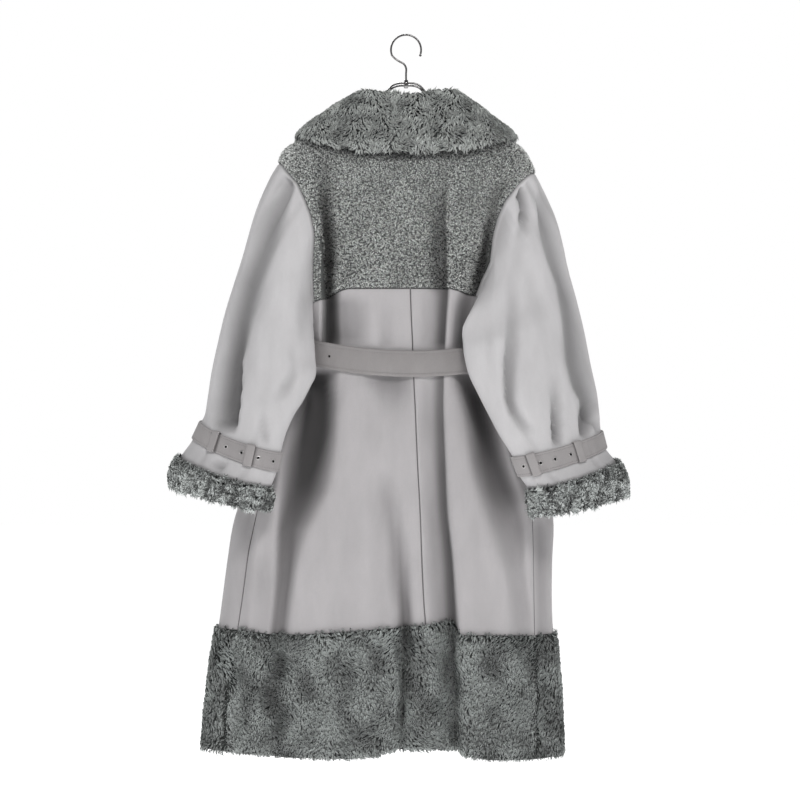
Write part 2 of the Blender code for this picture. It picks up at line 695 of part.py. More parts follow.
def make_front(side, label, suede, fleece, fur):
    half = SEAM_GAP / 2
    free = front_edge(side)
    hem_seam = seam_line(FRONT_HEM_TOP)
    outside = shifted(lambda z: yoke_edge(side, "front", z), side * half)
    outer, inner = panel_points([outside, free], [sum(FRONT_COLUMNS) - FRONT_COLUMNS[0]],
                                level(NECK_Z), YOKE_ROWS, level(FRONT_YOKE_BOTTOM + half),
                                FLEECE_PROUD, FLEECE_WALL, 0,
                                under_inset(side, FLEECE_WALL + LAYER_GAP))
    cloth("yoke_front_" + label, outer, inner, fleece)

    seam = shifted(lambda z: side_seam(side, "front", z), side * half)
    lines = [seam, corner_line(side, "front", free), free]
    top = below(underarm(side, "front", level(FRONT_YOKE_BOTTOM)), half)
    outer, inner = panel_points(lines, FRONT_COLUMNS, top, PANEL_ROWS, below(hem_seam, -half),
                                0, SUEDE_WALL, SOFT_ROWS,
                                under_inset(side, SUEDE_WALL + LAYER_GAP))
    cloth("front_panel_" + label, outer, inner, suede)
    outer, inner = panel_points(lines, FRONT_COLUMNS, below(hem_seam, half), HEM_ROWS,
                                seam_line(FRONT_HEM_BOTTOM), FUR_PROUD, FUR_WALL, 0,
                                under_inset(side, FUR_WALL + LAYER_GAP))
    cloth("hem_fur_front_" + label, outer, inner, fur)


def armhole_ring(side):
    """Points, outward directions and turns round the armhole.

    Turn 0 is the shoulder, 0.25 the back and 0.5 the underarm. The points lie on the rows and
    columns of the panels beside the armhole.
    """
    heights = [ARMHOLE_TOP[side]]
    angles = [float(armhole_angle(side, "back", ARMHOLE_TOP[side]))]
    halves = {}
    for face, columns in (("back", BACK_COLUMNS[0] if side > 0 else BACK_COLUMNS[-1]),
                          ("front", FRONT_COLUMNS[0])):
        corner = corner_height(side, face)
        rows = [z for z in YOKE_ROWS if corner < z < ARMHOLE_TOP[side] - 1e-6] + [corner]
        edge = [(z, float(armhole_angle(side, face, z))) for z in rows]
        start = edge[-1][1]
        end = float(side_seam(side, face, ARMHOLE_BOTTOM))
        for n in range(1, columns):
            share = n / columns
            edge.append((corner + (ARMHOLE_BOTTOM - corner) * math.sin(share * math.pi / 2),
                         start + (end - start) * share))
        halves[face] = edge
    for z, angle in halves["back"]:
        heights.append(z)
        angles.append(angle)
    on_back = len(heights) + 1
    heights.append(ARMHOLE_BOTTOM)
    angles.append(float(side_seam(side, "back", ARMHOLE_BOTTOM)))
    for z, angle in halves["front"][::-1]:
        heights.append(z)
        angles.append(angle)
    z = np.array(heights)
    angle = np.array(angles)
    points = body(angle, z)
    reach = np.linalg.norm(np.roll(points, -1, axis=0) - points, axis=-1)
    length = np.concatenate([[0], np.cumsum(reach)])
    middle = length[on_back - 1]
    back_turn = 0.5 * length[:-1] / middle
    front_turn = 0.5 + 0.5 * (length[:-1] - middle) / (length[-1] - middle)
    turns = np.where(np.arange(len(z)) < on_back, back_turn, front_turn)
    return points, normal(angle, z), turns


def sleeve_row(side, number, turns):
    """Section of the sleeve: a superellipse between its outer and its inner end."""
    rows = np.asarray(SLEEVE[side], float) * MM
    values = {}
    for n, name in enumerate(SLEEVE_HEAD):
        values[name] = smooth(np.arange(1, len(rows) + 1), rows[:, n], number)
    outer = np.array([values["outer_x"], values["outer_y"], values["outer_z"]])
    inner = np.array([values["inner_x"], values["inner_y"], values["inner_z"]])
    middle = (outer + inner) / 2
    reach = (outer - inner) / 2
    across_dir = np.array([reach[1] * -side, reach[0] * side, 0.0])
    across_dir = across_dir / np.linalg.norm(across_dir)
    power = 2 / SLEEVE_POWER
    phase = 2 * np.pi * turns
    along = np.sign(np.cos(phase)) * np.abs(np.cos(phase)) ** power
    out = np.sign(np.sin(phase)) * np.abs(np.sin(phase)) ** power
    out = np.where(out < 0, out * (UNDERSIDE_FLAT + (1 - UNDERSIDE_FLAT) * np.cos(phase)), out)
    return (middle + along[:, None] * reach
            + out[:, None] * values["depth"] * across_dir * np.sign(across_dir[1]))


def sleeve_fold(side, number, turns):
    """How far the cloth lies in at a place of the sleeve."""
    total = np.zeros(turns.shape)
    for fold_side, rows in SLEEVE_FOLDS:
        if fold_side != side:
            continue
        rows = np.asarray(rows, float)
        if number < rows[0, 0] or number > rows[-1, 0]:
            continue
        share = np.interp(number, rows[:, 0], rows[:, 1])
        flat = share if share <= 1 else 2 - share
        place = math.acos(1 - 2 * flat) / (2 * math.pi)
        place = place if share <= 1 else 1 - place
        depth = np.interp(number, rows[:, 0], rows[:, 2]) * MM
        width = np.interp(number, rows[:, 0], rows[:, 3])
        away = (turns - place + 0.5) % 1.0 - 0.5
        total = total + depth * bump(away, width, width)
    if number < PLEAT_ROWS:
        for pleat_side, place, depth, width in HEAD_PLEATS:
            if pleat_side == side:
                away = (turns - place + 0.5) % 1.0 - 0.5
                total = total + depth * MM * (1 - number / PLEAT_ROWS) * bump(away, width, width)
    return total


def ring_normals(rings):
    """Outward directions on a tube of rings."""
    around = np.roll(rings, -1, axis=1) - np.roll(rings, 1, axis=1)
    along = np.gradient(rings, axis=0)
    out = np.cross(along, around)
    middle = rings.mean(axis=1, keepdims=True)
    flip = np.sign(np.sum(out * (rings - middle), axis=-1).sum())
    return flip * out / np.linalg.norm(out, axis=-1, keepdims=True)


def sleeve_turns(side, number):
    """Turns of a ring's points: those of the armhole at first, then even ones."""
    start = armhole_ring(side)[2]
    even = np.arange(len(start)) / len(start)
    share = min(number / EVEN_ROW, 1.0)
    return start * (1 - share) + even * share


def sleeve_rings(side, numbers):
    """Folded outer rings of a sleeve and their outward directions."""
    turns = [sleeve_turns(side, number) for number in numbers]
    plain = np.stack([sleeve_row(side, n, t) for n, t in zip(numbers, turns)])
    outward = ring_normals(plain)
    folds = np.stack([sleeve_fold(side, n, t) for n, t in zip(numbers, turns)])
    return plain - outward * folds[..., None], outward


def make_sleeve(side, label, suede, fur, strap_finish, metal):
    rings, outward = sleeve_rings(side, np.array(SUEDE_ROWS))
    seam, seam_out, _ = armhole_ring(side)
    tangent = np.roll(seam, -1, axis=0) - np.roll(seam, 1, axis=0)
    away = np.cross(tangent, seam_out)
    away = away / np.linalg.norm(away, axis=-1, keepdims=True)
    away = away * -np.sign(away[0, 2])
    first = seam + away * SEAM_GAP
    turned = first + away * TURN_UP + seam_out * TURN_OUT
    outer = np.concatenate([first[None], turned[None], rings])
    inner = np.concatenate([(first - seam_out * SUEDE_WALL)[None],
                            (turned - (seam_out - away) * SUEDE_WALL * 0.7)[None],
                            rings - outward * SUEDE_WALL])
    cloth("sleeve_" + label, outer, inner, suede, closed=True)

    rings, outward = sleeve_rings(side, np.array(CUFF_ROWS))
    cloth("cuff_fur_" + label, rings + outward * FUR_PROUD, rings - outward * (FUR_WALL - FUR_PROUD),
          fur, closed=True)
    make_strap(side, label, strap_finish, metal)


def make_strap(side, label, finish, metal):
    rings, outward = sleeve_rings(side, np.array(STRAP_ROWS))
    low = rings + outward * STRAP_CLEAR
    top = low + outward * STRAP_THICK
    cloth("cuff_strap_" + label, top, low, finish, closed=True)
    for n, place in enumerate(LOOP_PLACES[side]):
        centre, axes, length = seat_on(top, place, LOOP_WIDTH, LOOP_THICK)
        block("strap_loop_%s_%d" % (label, n + 1), centre, axes,
              (LOOP_WIDTH, length + LOOP_SPARE, LOOP_THICK), finish)
    centre, axes, length = seat_on(top, BUCKLE_PLACE, CUFF_BUCKLE_WIDTH, CUFF_BUCKLE_THICK)
    block("cuff_buckle_" + label, centre, axes,
          (CUFF_BUCKLE_WIDTH, length + 2 * CUFF_BUCKLE_BAR, CUFF_BUCKLE_THICK), metal,
          hole=(CUFF_BUCKLE_WIDTH - 2 * CUFF_BUCKLE_BAR, length))


def seat_on(rings, place, width, thick):
    """Where a flat plate sits on a band between two rings: its centre, its axes and the band's width.

    The axes run round the band, down it and out of it. The plate clears every point beneath it.
    """
    count = rings.shape[1]
    turns = np.arange(count + 1) / count
    closed = np.concatenate([rings, rings[:, :1]], axis=1)
    spots = (place + np.linspace(-SEAT_TURNS, SEAT_TURNS, 2 * SEAT_POINTS + 1)) % 1.0
    edges = np.stack([[np.interp(spots, turns, ring[:, n]) for n in range(3)] for ring in closed])
    middle = edges[:, :, SEAT_POINTS]
    along = Vector(middle[1] - middle[0])
    length = along.length
    along = along.normalized()
    ahead = edges[:, :, SEAT_POINTS + SEAT_DIRECTION]
    behind = edges[:, :, SEAT_POINTS - SEAT_DIRECTION]
    around = Vector((ahead - behind).sum(axis=0))
    around = (around - along * around.dot(along)).normalized()
    out = along.cross(around)
    centre = Vector(middle.mean(axis=0))
    if out.dot(centre - Vector(rings.mean(axis=(0, 1)))) < 0:
        out = -out
    away = edges - middle.mean(axis=0)[None, :, None]
    beneath = np.abs(np.einsum("enk,n->ek", away, np.array(around))) < width / 2
    height = np.einsum("enk,n->ek", away, np.array(out))[beneath].max()
    return centre + out * (height + SEAT_GAP + thick / 2), (around, along, out), length


def block(name, centre, axes, sizes, finish, hole=None):
    """A plate with its edges along three axes, with a rectangular hole through the third if given."""
    half = [s / 2 for s in sizes]
    ring = [(-1, -1), (1, -1), (1, 1), (-1, 1)]
    points = []
    faces = []
    loops = [(half[0], half[1])] + ([(hole[0] / 2, hole[1] / 2)] if hole else [])
    for width, length in loops:
        for lift in (-half[2], half[2]):
            for a, b in ring:
                points.append(centre + axes[0] * a * width + axes[1] * b * length + axes[2] * lift)
    for n in range(4):
        m = (n + 1) % 4
        faces.append((n, m, 4 + m, 4 + n))
        if hole:
            faces.append((8 + m, 8 + n, 12 + n, 12 + m))
            faces.append((m, n, 8 + n, 8 + m))
            faces.append((4 + n, 4 + m, 12 + m, 12 + n))
    if not hole:
        faces.append((3, 2, 1, 0))
        faces.append((4, 5, 6, 7))
    return add_object(name, points, faces, finish)


def belt_height(x):
    return BELT_Z + BELT_SAG * (1.6 * (np.abs(x + 0.01) / 0.15) ** 2 - 0.6)


def make_belt(finish, metal):
    angle = np.linspace(-np.pi, np.pi, BELT_COLUMNS, endpoint=False)
    x, y = base(angle, np.full(BELT_COLUMNS, BELT_Z))
    outward = normal(angle, np.full(BELT_COLUMNS, BELT_Z))
    outward[:, 2] = 0
    outward = outward / np.linalg.norm(outward, axis=-1, keepdims=True)
    rings = np.stack([np.stack([x, y, belt_height(x) + edge * BELT_WIDTH], -1)
                      for edge in (0.5, -0.5)])
    low = rings + outward * BELT_CLEAR
    top = low + outward * BELT_THICK
    cloth("belt", top, low, finish, closed=True)
    for name, place, size, thick, hole, look in (
            ("belt_buckle", 0.0, (BUCKLE_OPENING + 2 * BUCKLE_BAR, 2 * BUCKLE_BAR), BUCKLE_THICK,
             (BUCKLE_OPENING, 0.0), metal),
            ("belt_keeper", KEEPER_PLACE, (LOOP_WIDTH, LOOP_SPARE), LOOP_THICK, None, finish)):
        centre, axes, length = seat_on(top, place, size[0], thick)
        block(name, centre, axes, (size[0], length + size[1], thick), look,
              hole=(hole[0], length + hole[1]) if hole else None)


def make_collar(fur):
    rows = np.asarray(COLLAR, float)
    steps = np.linspace(-1, 1, COLLAR_STEPS + 1)
    reach = rows[-1, 0]
    angle = np.abs(steps) * reach
    sign = np.where(steps < 0, -1.0, 1.0)
    guide = {}
    for n, name in enumerate(COLLAR_HEAD[1:], 1):
        guide[name] = smooth(rows[:, 0], rows[:, n] * MM, angle)
    roll = np.stack([guide["roll_x"] * sign, guide["roll_y"], guide["roll_z"]], -1)
    edge = np.stack([guide["edge_x"] * sign, guide["edge_y"], guide["edge_z"]], -1)
    down = edge - roll
    path = np.gradient(roll + edge, axis=0)
    lift = np.cross(path, down)
    lift = lift / np.linalg.norm(lift, axis=-1, keepdims=True)
    lift = lift * np.sign(lift[COLLAR_STEPS // 2, 1])
    thin = 1 - COLLAR_THINNER * np.interp(angle, COLLAR_THIN, (0, 1))[:, None]
    points = []
    for share, height in COLLAR_PROFILE:
        rise = height * MM * (thin if height < COLLAR_STAND else 1)
        points.append(roll + down * share + lift * rise)
    grid = np.stack(points, axis=1)
    count = len(COLLAR_PROFILE)
    faces = []
    for r in range(COLLAR_STEPS):
        for c in range(count):
            a = r * count + c
            b = r * count + (c + 1) % count
            faces.append((a, b, b + count, a + count))
    faces.append(tuple(range(count))[::-1])
    faces.append(tuple(COLLAR_STEPS * count + n for n in range(count)))
    add_object("collar", grid.reshape(-1, 3), faces, fur)


def wire(name, points, radius, finish, cyclic=False, sides=3):
    """A bent wire through its points, on a smooth curve."""
    curve = bpy.data.curves.new(name, "CURVE")
    curve.dimensions = "3D"
    curve.bevel_depth = radius
    curve.bevel_resolution = sides
    curve.use_fill_caps = True
    spline = curve.splines.new("POLY")
    spline.points.add(len(points) - 1)
    for spot, place in zip(spline.points, points):
        spot.co = (*place, 1.0)
    spline.use_cyclic_u = cyclic
    curve.materials.append(finish)
    made = bpy.data.objects.new(name, curve)
    bpy.context.collection.objects.link(made)
    return made


def through(points, count):
    """Points evenly spaced in parameter on a smooth curve through the given ones."""
    points = np.asarray(points, float)
    places = np.concatenate([[0], np.cumsum(np.linalg.norm(np.diff(points, axis=0), axis=1))])
    at = np.linspace(0, places[-1], count)
    return np.stack([smooth(places, points[:, n], at) for n in range(3)], -1)


def make_hanger(metal):
    centre_z = WIRE - HOOK_RADIUS
    sweep = np.radians(np.linspace(*HOOK_SWEEP, 20))
    loop = [(HOOK_RADIUS * math.cos(t), 0, centre_z + HOOK_RADIUS * math.sin(t)) for t in sweep]
    neck = through([loop[-1]] + [(x, 0, z) for x, z in HOOK_NECK], 16)
    wire("hook", np.concatenate([loop, neck[1:]]), WIRE, metal)

    bpy.ops.mesh.primitive_uv_sphere_add(segments=12, ring_count=8, radius=TIP_RADIUS)
    tip = bpy.context.object
    tip.name = "hook_tip"
    start = Vector(loop[0])
    tip.location = start + (start - Vector(loop[1])).normalized() * TIP_REACH
    tip.data.materials.append(metal)

    nut = cylinder("hook_nut", NUT_RADIUS, NUT_HEIGHT, (0, 0, NUT_Z), metal)
    nut.rotation_euler = (0, 0, math.radians(30))
    clip = block("hanger_clip", Vector((0, 0, CLIP_Z)),
                 (Vector((1, 0, 0)), Vector((0, 1, 0)), Vector((0, 0, 1))),
                 (CLIP_WIDTH, 2 * FRAME_SPREAD + CLIP_SPARE, CLIP_HEIGHT), metal)
    for spread in (-FRAME_SPREAD, FRAME_SPREAD):
        cutter = cylinder("clip_bore", WIRE + BORE_CLEAR, 0.02, (0, spread, FRAME_TOP), metal)
        cutter.rotation_euler = (0, math.radians(90), 0)
        cutter.hide_render = True
        cutter.display_type = "WIRE"
        cut = clip.modifiers.new("bore", "BOOLEAN")
        cut.object = cutter
        cut.solver = "EXACT"
    make_frame(metal)


def cylinder(name, radius, depth, place, finish):
    bpy.ops.mesh.primitive_cylinder_add(vertices=12, radius=radius, depth=depth, location=place)
    made = bpy.context.object
    made.name = name
    made.data.materials.append(finish)
    return made


def shoulder_seat(side, z):
    """Middle of the hanger's wire where the back yoke rests on it at height z."""
    _, _, back, _ = section(z)
    lean = math.acos((FRAME_SPREAD / float(back)) ** (SECTION_POWER / 2))
    rest = FLEECE_WALL - FLEECE_PROUD + WIRE + FRAME_REST
    point = body(np.array(side * lean), np.array(z), np.array(-rest))
    return (float(point[0]), FRAME_SPREAD, float(point[2]))


def make_frame(metal):
    """One bent wire: out to both shoulders in front and behind, joined at its ends."""
    halves = []
    for side in (1, -1):
        seat = [shoulder_seat(side, z) for z in FRAME_SEAT]
        back = [(side * x, FRAME_SPREAD, FRAME_TOP + drop) for x, drop in FRAME_NECK] + seat
        end_x, _, end_z = seat[-1]
        ends = [(end_x + side * out, FRAME_SPREAD * share, end_z + drop)
                for out, share, drop in FRAME_ENDS]
        front = [(x, -y, z) for x, y, z in back[::-1]]
        halves.append(back + ends + front)
    left, right = halves
    route = left + right[::-1][1:-1]
    points = through(route + [route[0]], 72)[:-1]
    wire("hanger_frame", points, WIRE, metal, cyclic=True, sides=2)


def main():
    clear_scene()
    suede = material("suede", SUEDE_COLOUR, 0.85)
    belt_suede = material("belt suede", BELT_COLOUR, 0.8)
    fleece = material("curly fleece", FLEECE_COLOUR, 0.95)
    fur = material("long fur", FUR_COLOUR, 0.9)
    metal = material("dark chrome", METAL_COLOUR, 0.25, 1.0)
    make_back(suede, fleece, fur)
    for side, label in ((1, "left"), (-1, "right")):
        make_front(side, label, suede, fleece, fur)
        make_sleeve(side, label, suede, fur, belt_suede, metal)
    make_belt(belt_suede, metal)
    make_collar(fur)
    make_hanger(metal)


main()
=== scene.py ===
import json
import math
import bpy
import numpy as np
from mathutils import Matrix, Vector

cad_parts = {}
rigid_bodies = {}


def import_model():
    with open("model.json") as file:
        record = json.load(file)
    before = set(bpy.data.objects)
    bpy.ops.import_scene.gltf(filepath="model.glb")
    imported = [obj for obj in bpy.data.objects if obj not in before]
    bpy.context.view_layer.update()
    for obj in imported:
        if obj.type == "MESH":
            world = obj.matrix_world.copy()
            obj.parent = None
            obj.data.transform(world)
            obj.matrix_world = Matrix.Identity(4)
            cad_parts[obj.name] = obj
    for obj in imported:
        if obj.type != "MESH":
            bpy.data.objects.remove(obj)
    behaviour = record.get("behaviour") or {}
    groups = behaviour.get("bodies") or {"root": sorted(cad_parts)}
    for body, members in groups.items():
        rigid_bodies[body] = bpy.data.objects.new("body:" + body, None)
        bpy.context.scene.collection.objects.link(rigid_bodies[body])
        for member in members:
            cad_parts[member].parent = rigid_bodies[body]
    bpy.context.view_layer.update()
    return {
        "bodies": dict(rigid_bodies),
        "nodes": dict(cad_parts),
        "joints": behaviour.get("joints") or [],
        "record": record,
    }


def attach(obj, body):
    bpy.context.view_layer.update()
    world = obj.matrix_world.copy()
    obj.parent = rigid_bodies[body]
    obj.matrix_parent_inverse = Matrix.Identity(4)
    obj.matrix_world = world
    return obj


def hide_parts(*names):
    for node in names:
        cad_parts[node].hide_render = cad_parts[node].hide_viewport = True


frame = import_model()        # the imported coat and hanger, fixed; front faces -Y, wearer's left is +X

mm = 0.001
bothSides = ((1, "left"), (-1, "right"))
sheets = []              # every cloth piece, its sizes printed at the end
print("stage 1: tables of the cut")

# tables in millimetres, unless a note says otherwise
# body sections: height, left and right extent, back and front depth
bodyRows = [
    (-128, 80, -82, 56, -58), (-140, 90, -90, 64, -66), (-156, 126, -124, 74, -74),
    (-181, 174, -170, 83, -82), (-198, 206, -199, 87, -86), (-216, 218, -212, 91, -89),
    (-240, 221, -222, 95, -92), (-290, 210, -208, 99, -95), (-350, 200, -192, 100, -98),
    (-420, 192, -178, 99, -98), (-490, 178, -164, 97, -96), (-566, 166, -150, 94, -94),
    (-620, 188, -174, 99, -98), (-700, 236, -216, 107, -105), (-760, 268, -240, 111, -109),
    (-842, 299, -256, 114, -113), (-916, 311, -254, 116, -116), (-1000, 322, -254, 118, -118),
    (-1090, 335, -260, 120, -120), (-1190, 347, -267, 122, -122), (-1280, 350, -268, 123, -123)]
bodyHead = ("z", "left", "right", "back", "front")
# armhole edge: height, x on the left back, right back, left front, right front
armholeRows = [
    (-221, 226, -228, 226, -228), (-222, 218, -228, 219, -228), (-227, 213, -228, 215, -228),
    (-233, 209, -228, 211, -228), (-239, 205, -227, 207, -227), (-240, 204, -218, 206, -219),
    (-244, 201, -212, 203, -214), (-251, 195, -204, 197, -207), (-263, 185, -192, 189, -198),
    (-292, 172, -170, 177, -180), (-318, 162, -158, 169, -168), (-350, 156, -149, 163, -157),
    (-400, 159, -143, 161, -150), (-422, 159, -132, 160, -149), (-446, 158, -122, 160, -148),
    (-466, 157, -116, 160, -148)]
armholeHead = ("z", "leftBack", "rightBack", "leftFront", "rightFront")
armholeTop = {1: -0.2215, -1: -0.2390}   # in metres, by side
armholeBottom = -0.4860                  # in metres
shoulderSeam = math.radians(97)          # from the centre back
# long lines of the back, x by height; 999 is the widest place
seamRows = [
    (-120, 999, 150, -7, -68, -75, -134, -999), (-250, 999, 146, -7, -68, -75, -132, -999),
    (-300, 999, 139, -7, -68, -75, -129, -999), (-360, 999, 135, -7, -68, -75, -125, -999),
    (-445, 999, 134, -7, -68, -75, -117, -999), (-500, 999, 134, -9, -65, -71, -117, -999),
    (-545, 999, 135, -11, -63, -69, -117, -999), (-546, 170, 135, -11, -63, -69, -117, -153),
    (-566, 167, 135, -12, -62, -68, -117, -151), (-600, 179, 146, -13, -61, -67, -134, -164),
    (-640, 193, 160, -15, -60, -66, -142, -177), (-690, 213, 170, -17, -61, -68, -147, -193),
    (-737, 232, 178, -19, -63, -70, -151, -206), (-833, 257, 196, -24, -67, -75, -163, -216),
    (-893, 270, 206, -26, -74, -81, -167, -218), (-978, 281, 217, -30, -79, -88, -169, -219),
    (-1030, 289, 223, -34, -81, -92, -170, -220), (-1137, 300, 229, -37, -86, -99, -172, -220),
    (-1280, 311, 236, -41, -89, -104, -174, -219)]
seamHead = ("z", "sideLeft", "valleyLeft", "centre", "foot", "crest", "valleyRight", "sideRight")
# soft folds of the back: rows of height, x, depth, width towards +X and -X
backFolds = {
    "valley left of the middle": [
        (-257, 139, 0, 14, 17), (-280, 139, 10, 15, 20), (-311, 139, 16, 15, 25), (-345, 138, 22, 15, 29),
        (-379, 136, 28, 15, 31), (-415, 136, 36, 14, 29), (-450, 134, 46, 14, 25),
        (-472, 134, 54, 12, 22), (-501, 134, 56, 14, 22), (-540, 134, 48, 15, 24),
        (-557, 136, 12, 17, 24), (-569, 139, 0, 20, 27), (-577, 146, 0, 31, 34), (-589, 148, 46, 37, 34),
        (-606, 150, 56, 42, 34), (-633, 148, 66, 48, 34), (-684, 151, 66, 58, 37),
        (-735, 165, 54, 58, 49), (-786, 180, 48, 42, 56), (-854, 204, 36, 20, 41),
        (-922, 204, 31, 22, 22), (-990, 212, 27, 17, 20), (-1030, 216, 23, 19, 20),
        (-1074, 219, 15, 25, 31), (-1142, 228, 11, 27, 34), (-1239, 234, 8, 27, 34)],
    "left chest": [
        (-450, 117, 0, 14, 51), (-470, 116, 15, 14, 64), (-523, 116, 19, 14, 64), (-549, 114, 0, 14, 64)],
    "middle of the chest": [
        (-450, 34, 0, 14, 14), (-498, 34, 4, 15, 17), (-535, 34, 7, 15, 17), (-552, 34, 0, 15, 17)],
    "shadow by the right sleeve": [
        (-253, -163, 0, 24, 10), (-277, -159, 14, 27, 12), (-328, -151, 22, 31, 12),
        (-379, -137, 26, 34, 12), (-430, -124, 28, 34, 12), (-459, -113, 28, 31, 14),
        (-498, -103, 34, 24, 20), (-540, -96, 38, 20, 24), (-557, -96, 8, 24, 27), (-566, -96, 0, 27, 31),
        (-578, -100, 0, 31, 34), (-590, -105, 36, 31, 34), (-606, -110, 42, 31, 34),
        (-633, -120, 50, 31, 31), (-684, -132, 48, 34, 34), (-735, -142, 44, 41, 37),
        (-786, -161, 42, 48, 37),
        (-854, -180, 22, 48, 27), (-922, -183, 10, 22, 24), (-990, -197, 9, 24, 24),
        (-1074, -197, 5, 27, 27), (-1239, -197, 5, 27, 27)],
    "middle of the skirt": [
        (-745, 38, 0, 17, 20), (-786, 34, 9, 20, 20), (-854, 19, 16, 22, 20), (-922, 12, 22, 17, 22),
        (-990, 4, 29, 15, 17), (-1030, 4, 30, 15, 19), (-1142, 7, 26, 17, 22), (-1239, 10, 24, 20, 24)],
    "gather under the belt": [
        (-570, 26, 0, 60, 44), (-590, 26, 7, 58, 44), (-610, 24, 9, 50, 44), (-640, 22, 5, 42, 40),
        (-690, 17, 0, 34, 34)],
    "left edge of the skirt": [
        (-803, 262, 0, 15, 17), (-837, 265, 9, 15, 17), (-884, 270, 8, 15, 15), (-956, 277, 5, 15, 15),
        (-1239, 289, 4, 15, 15)],
    "right edge of the skirt": [
        (-811, -220, 0, 14, 14), (-854, -227, 15, 17, 20), (-922, -229, 15, 17, 20),
        (-1030, -232, 11, 15, 20), (-1239, -232, 8, 15, 20)],
    "middle shade, left skirt": [
        (-884, 241, 0, 17, 20), (-939, 238, 6, 20, 24), (-990, 234, 5, 20, 20), (-1041, 234, 0, 20, 20)],
}
# painted shade on the back where the cloth hardly dips: rows as in backFolds
backShades = {
    "left side of the yoke": [
        (-192, 146, 0, 17, 20), (-223, 146, 13, 20, 24), (-269, 143, 18, 17, 31), (-319, 141, 25, 12, 37),
        (-362, 138, 28, 8, 37), (-404, 136, 26, 7, 34), (-440, 134, 14, 7, 27), (-454, 134, 0, 7, 20)],
    "left side": [
        (-803, 277, 0, 24, 27), (-854, 280, 6, 27, 27), (-973, 297, 6, 31, 27), (-1030, 309, 5, 31, 27),
        (-1244, 336, 4, 31, 24)],
    "right side": [
        (-803, -242, 0, 24, 24), (-854, -241, 5, 24, 24), (-1030, -244, 5, 24, 24),
        (-1244, -261, 4, 24, 24)],
    "under the belt": [
        (-572, 21, 0, 81, 48), (-589, 21, 21, 81, 48), (-606, 21, 19, 75, 48), (-621, 19, 10, 58, 44),
        (-640, 17, 4, 44, 41), (-664, 16, 0, 41, 37)],
    "left of the knife fold": [
        (-303, -54, 0, 10, 10), (-336, -52, 7, 15, 10), (-387, -47, 15, 19, 12), (-433, -47, 15, 19, 12),
        (-450, -51, 4, 15, 10), (-460, -51, 0, 10, 10)],
    "right side of the yoke": [
        (-260, -146, 0, 10, 10), (-303, -141, 14, 12, 12), (-353, -137, 24, 15, 15),
        (-399, -132, 28, 19, 15), (-437, -125, 26, 20, 17), (-452, -122, 6, 20, 17),
        (-460, -118, 0, 17, 17)],
}
# soft folds of the front, in the same columns
frontFolds = {
    "left chest": [
        (-250, 120, 0, 20, 20), (-330, 118, 10, 20, 22), (-430, 122, 14, 20, 22),
        (-520, 118, 6, 18, 20), (-560, 116, 0, 18, 20)],
    "right chest": [
        (-250, -118, 0, 20, 20), (-330, -116, 9, 20, 20), (-430, -116, 13, 20, 20),
        (-520, -112, 6, 18, 18), (-560, -110, 0, 18, 18)],
    "left skirt": [
        (-600, 130, 0, 24, 26), (-700, 150, 20, 28, 32), (-850, 172, 22, 30, 36),
        (-1040, 190, 14, 28, 34), (-1260, 200, 12, 28, 34)],
    "right skirt": [
        (-600, -104, 0, 22, 22), (-700, -128, 18, 28, 28), (-850, -146, 20, 32, 30),
        (-1040, -158, 13, 30, 30), (-1260, -164, 12, 30, 30)],
    "middle of the skirt": [
        (-640, 96, 0, 22, 22), (-800, 104, 8, 24, 24), (-1040, 112, 12, 26, 26),
        (-1260, 116, 13, 28, 28)],
}
# depth of the knife fold by height
knifeRows = [(-225, 0), (-290, 10), (-440, 15), (-530, 12), (-550, 2), (-566, 0), (-590, 0), (-610, 10),
             (-660, 17), (-760, 22), (-900, 30), (-1040, 32), (-1260, 28)]
# painted shade in the knife fold: height, soft shade, dark line
knifeShades = [(-225, 0, 0), (-300, 0.34, 0.12), (-400, 0.50, 0.25), (-450, 0.44, 0.45),
               (-540, 0.42, 0.55), (-560, 0, 0), (-578, 0, 0), (-590, 0.22, 0.60), (-620, 0.12, 0.60),
               (-760, 0.15, 0.66), (-1020, 0.17, 0.70), (-1060, 0.30, 0.35), (-1260, 0.30, 0.30)]
# soft creases laid on one by one: from x, z to x, z, depth (a ridge if negative), half width
backCreases = [
    (66, -596, 60, -700, 2.4, 9), (40, -594, 44, -668, 1.6, 7), (14, -596, 20, -742, 2.2, 10),
    (-34, -594, -40, -680, 2.0, 8), (-96, -596, -108, -720, 2.6, 10), (110, -598, 118, -660, 2.4, 8),
    (52, -760, 40, -1010, 3.0, 14), (98, -830, 108, -1020, 2.6, 16), (-44, -800, -52, -1020, 2.6, 10),
    (-118, -820, -124, -1020, 2.2, 12), (-190, -700, -200, -1020, 3.4, 11),
    (244, -880, 258, -1024, 3.0, 12),
    (150, -900, 156, -1030, -2.4, 14), (90, -470, 84, -540, 2.0, 9), (56, -462, 60, -536, -1.6, 10),
    (24, -470, 18, -540, 1.8, 8), (-36, -458, -34, -540, 2.0, 9), (-92, -462, -98, -540, 2.2, 9),
    (112, -458, 104, -540, 2.4, 8), (0, -330, 6, -440, 1.4, 16), (-40, -300, -44, -440, 1.6, 12),
    (80, -240, 92, -420, 1.6, 18), (-104, -260, -108, -450, 2.0, 10),
    (120, -1050, 112, -1230, 4.0, 18), (60, -1070, 66, -1225, -3.0, 14),
    (-60, -1040, -66, -1215, 3.0, 10), (-140, -1060, -146, -1235, 3.4, 16),
    (180, -1060, 190, -1230, 3.0, 18), (262, -1060, 270, -1230, 3.0, 14),
    (-190, -1060, -196, -1235, 2.6, 10)]
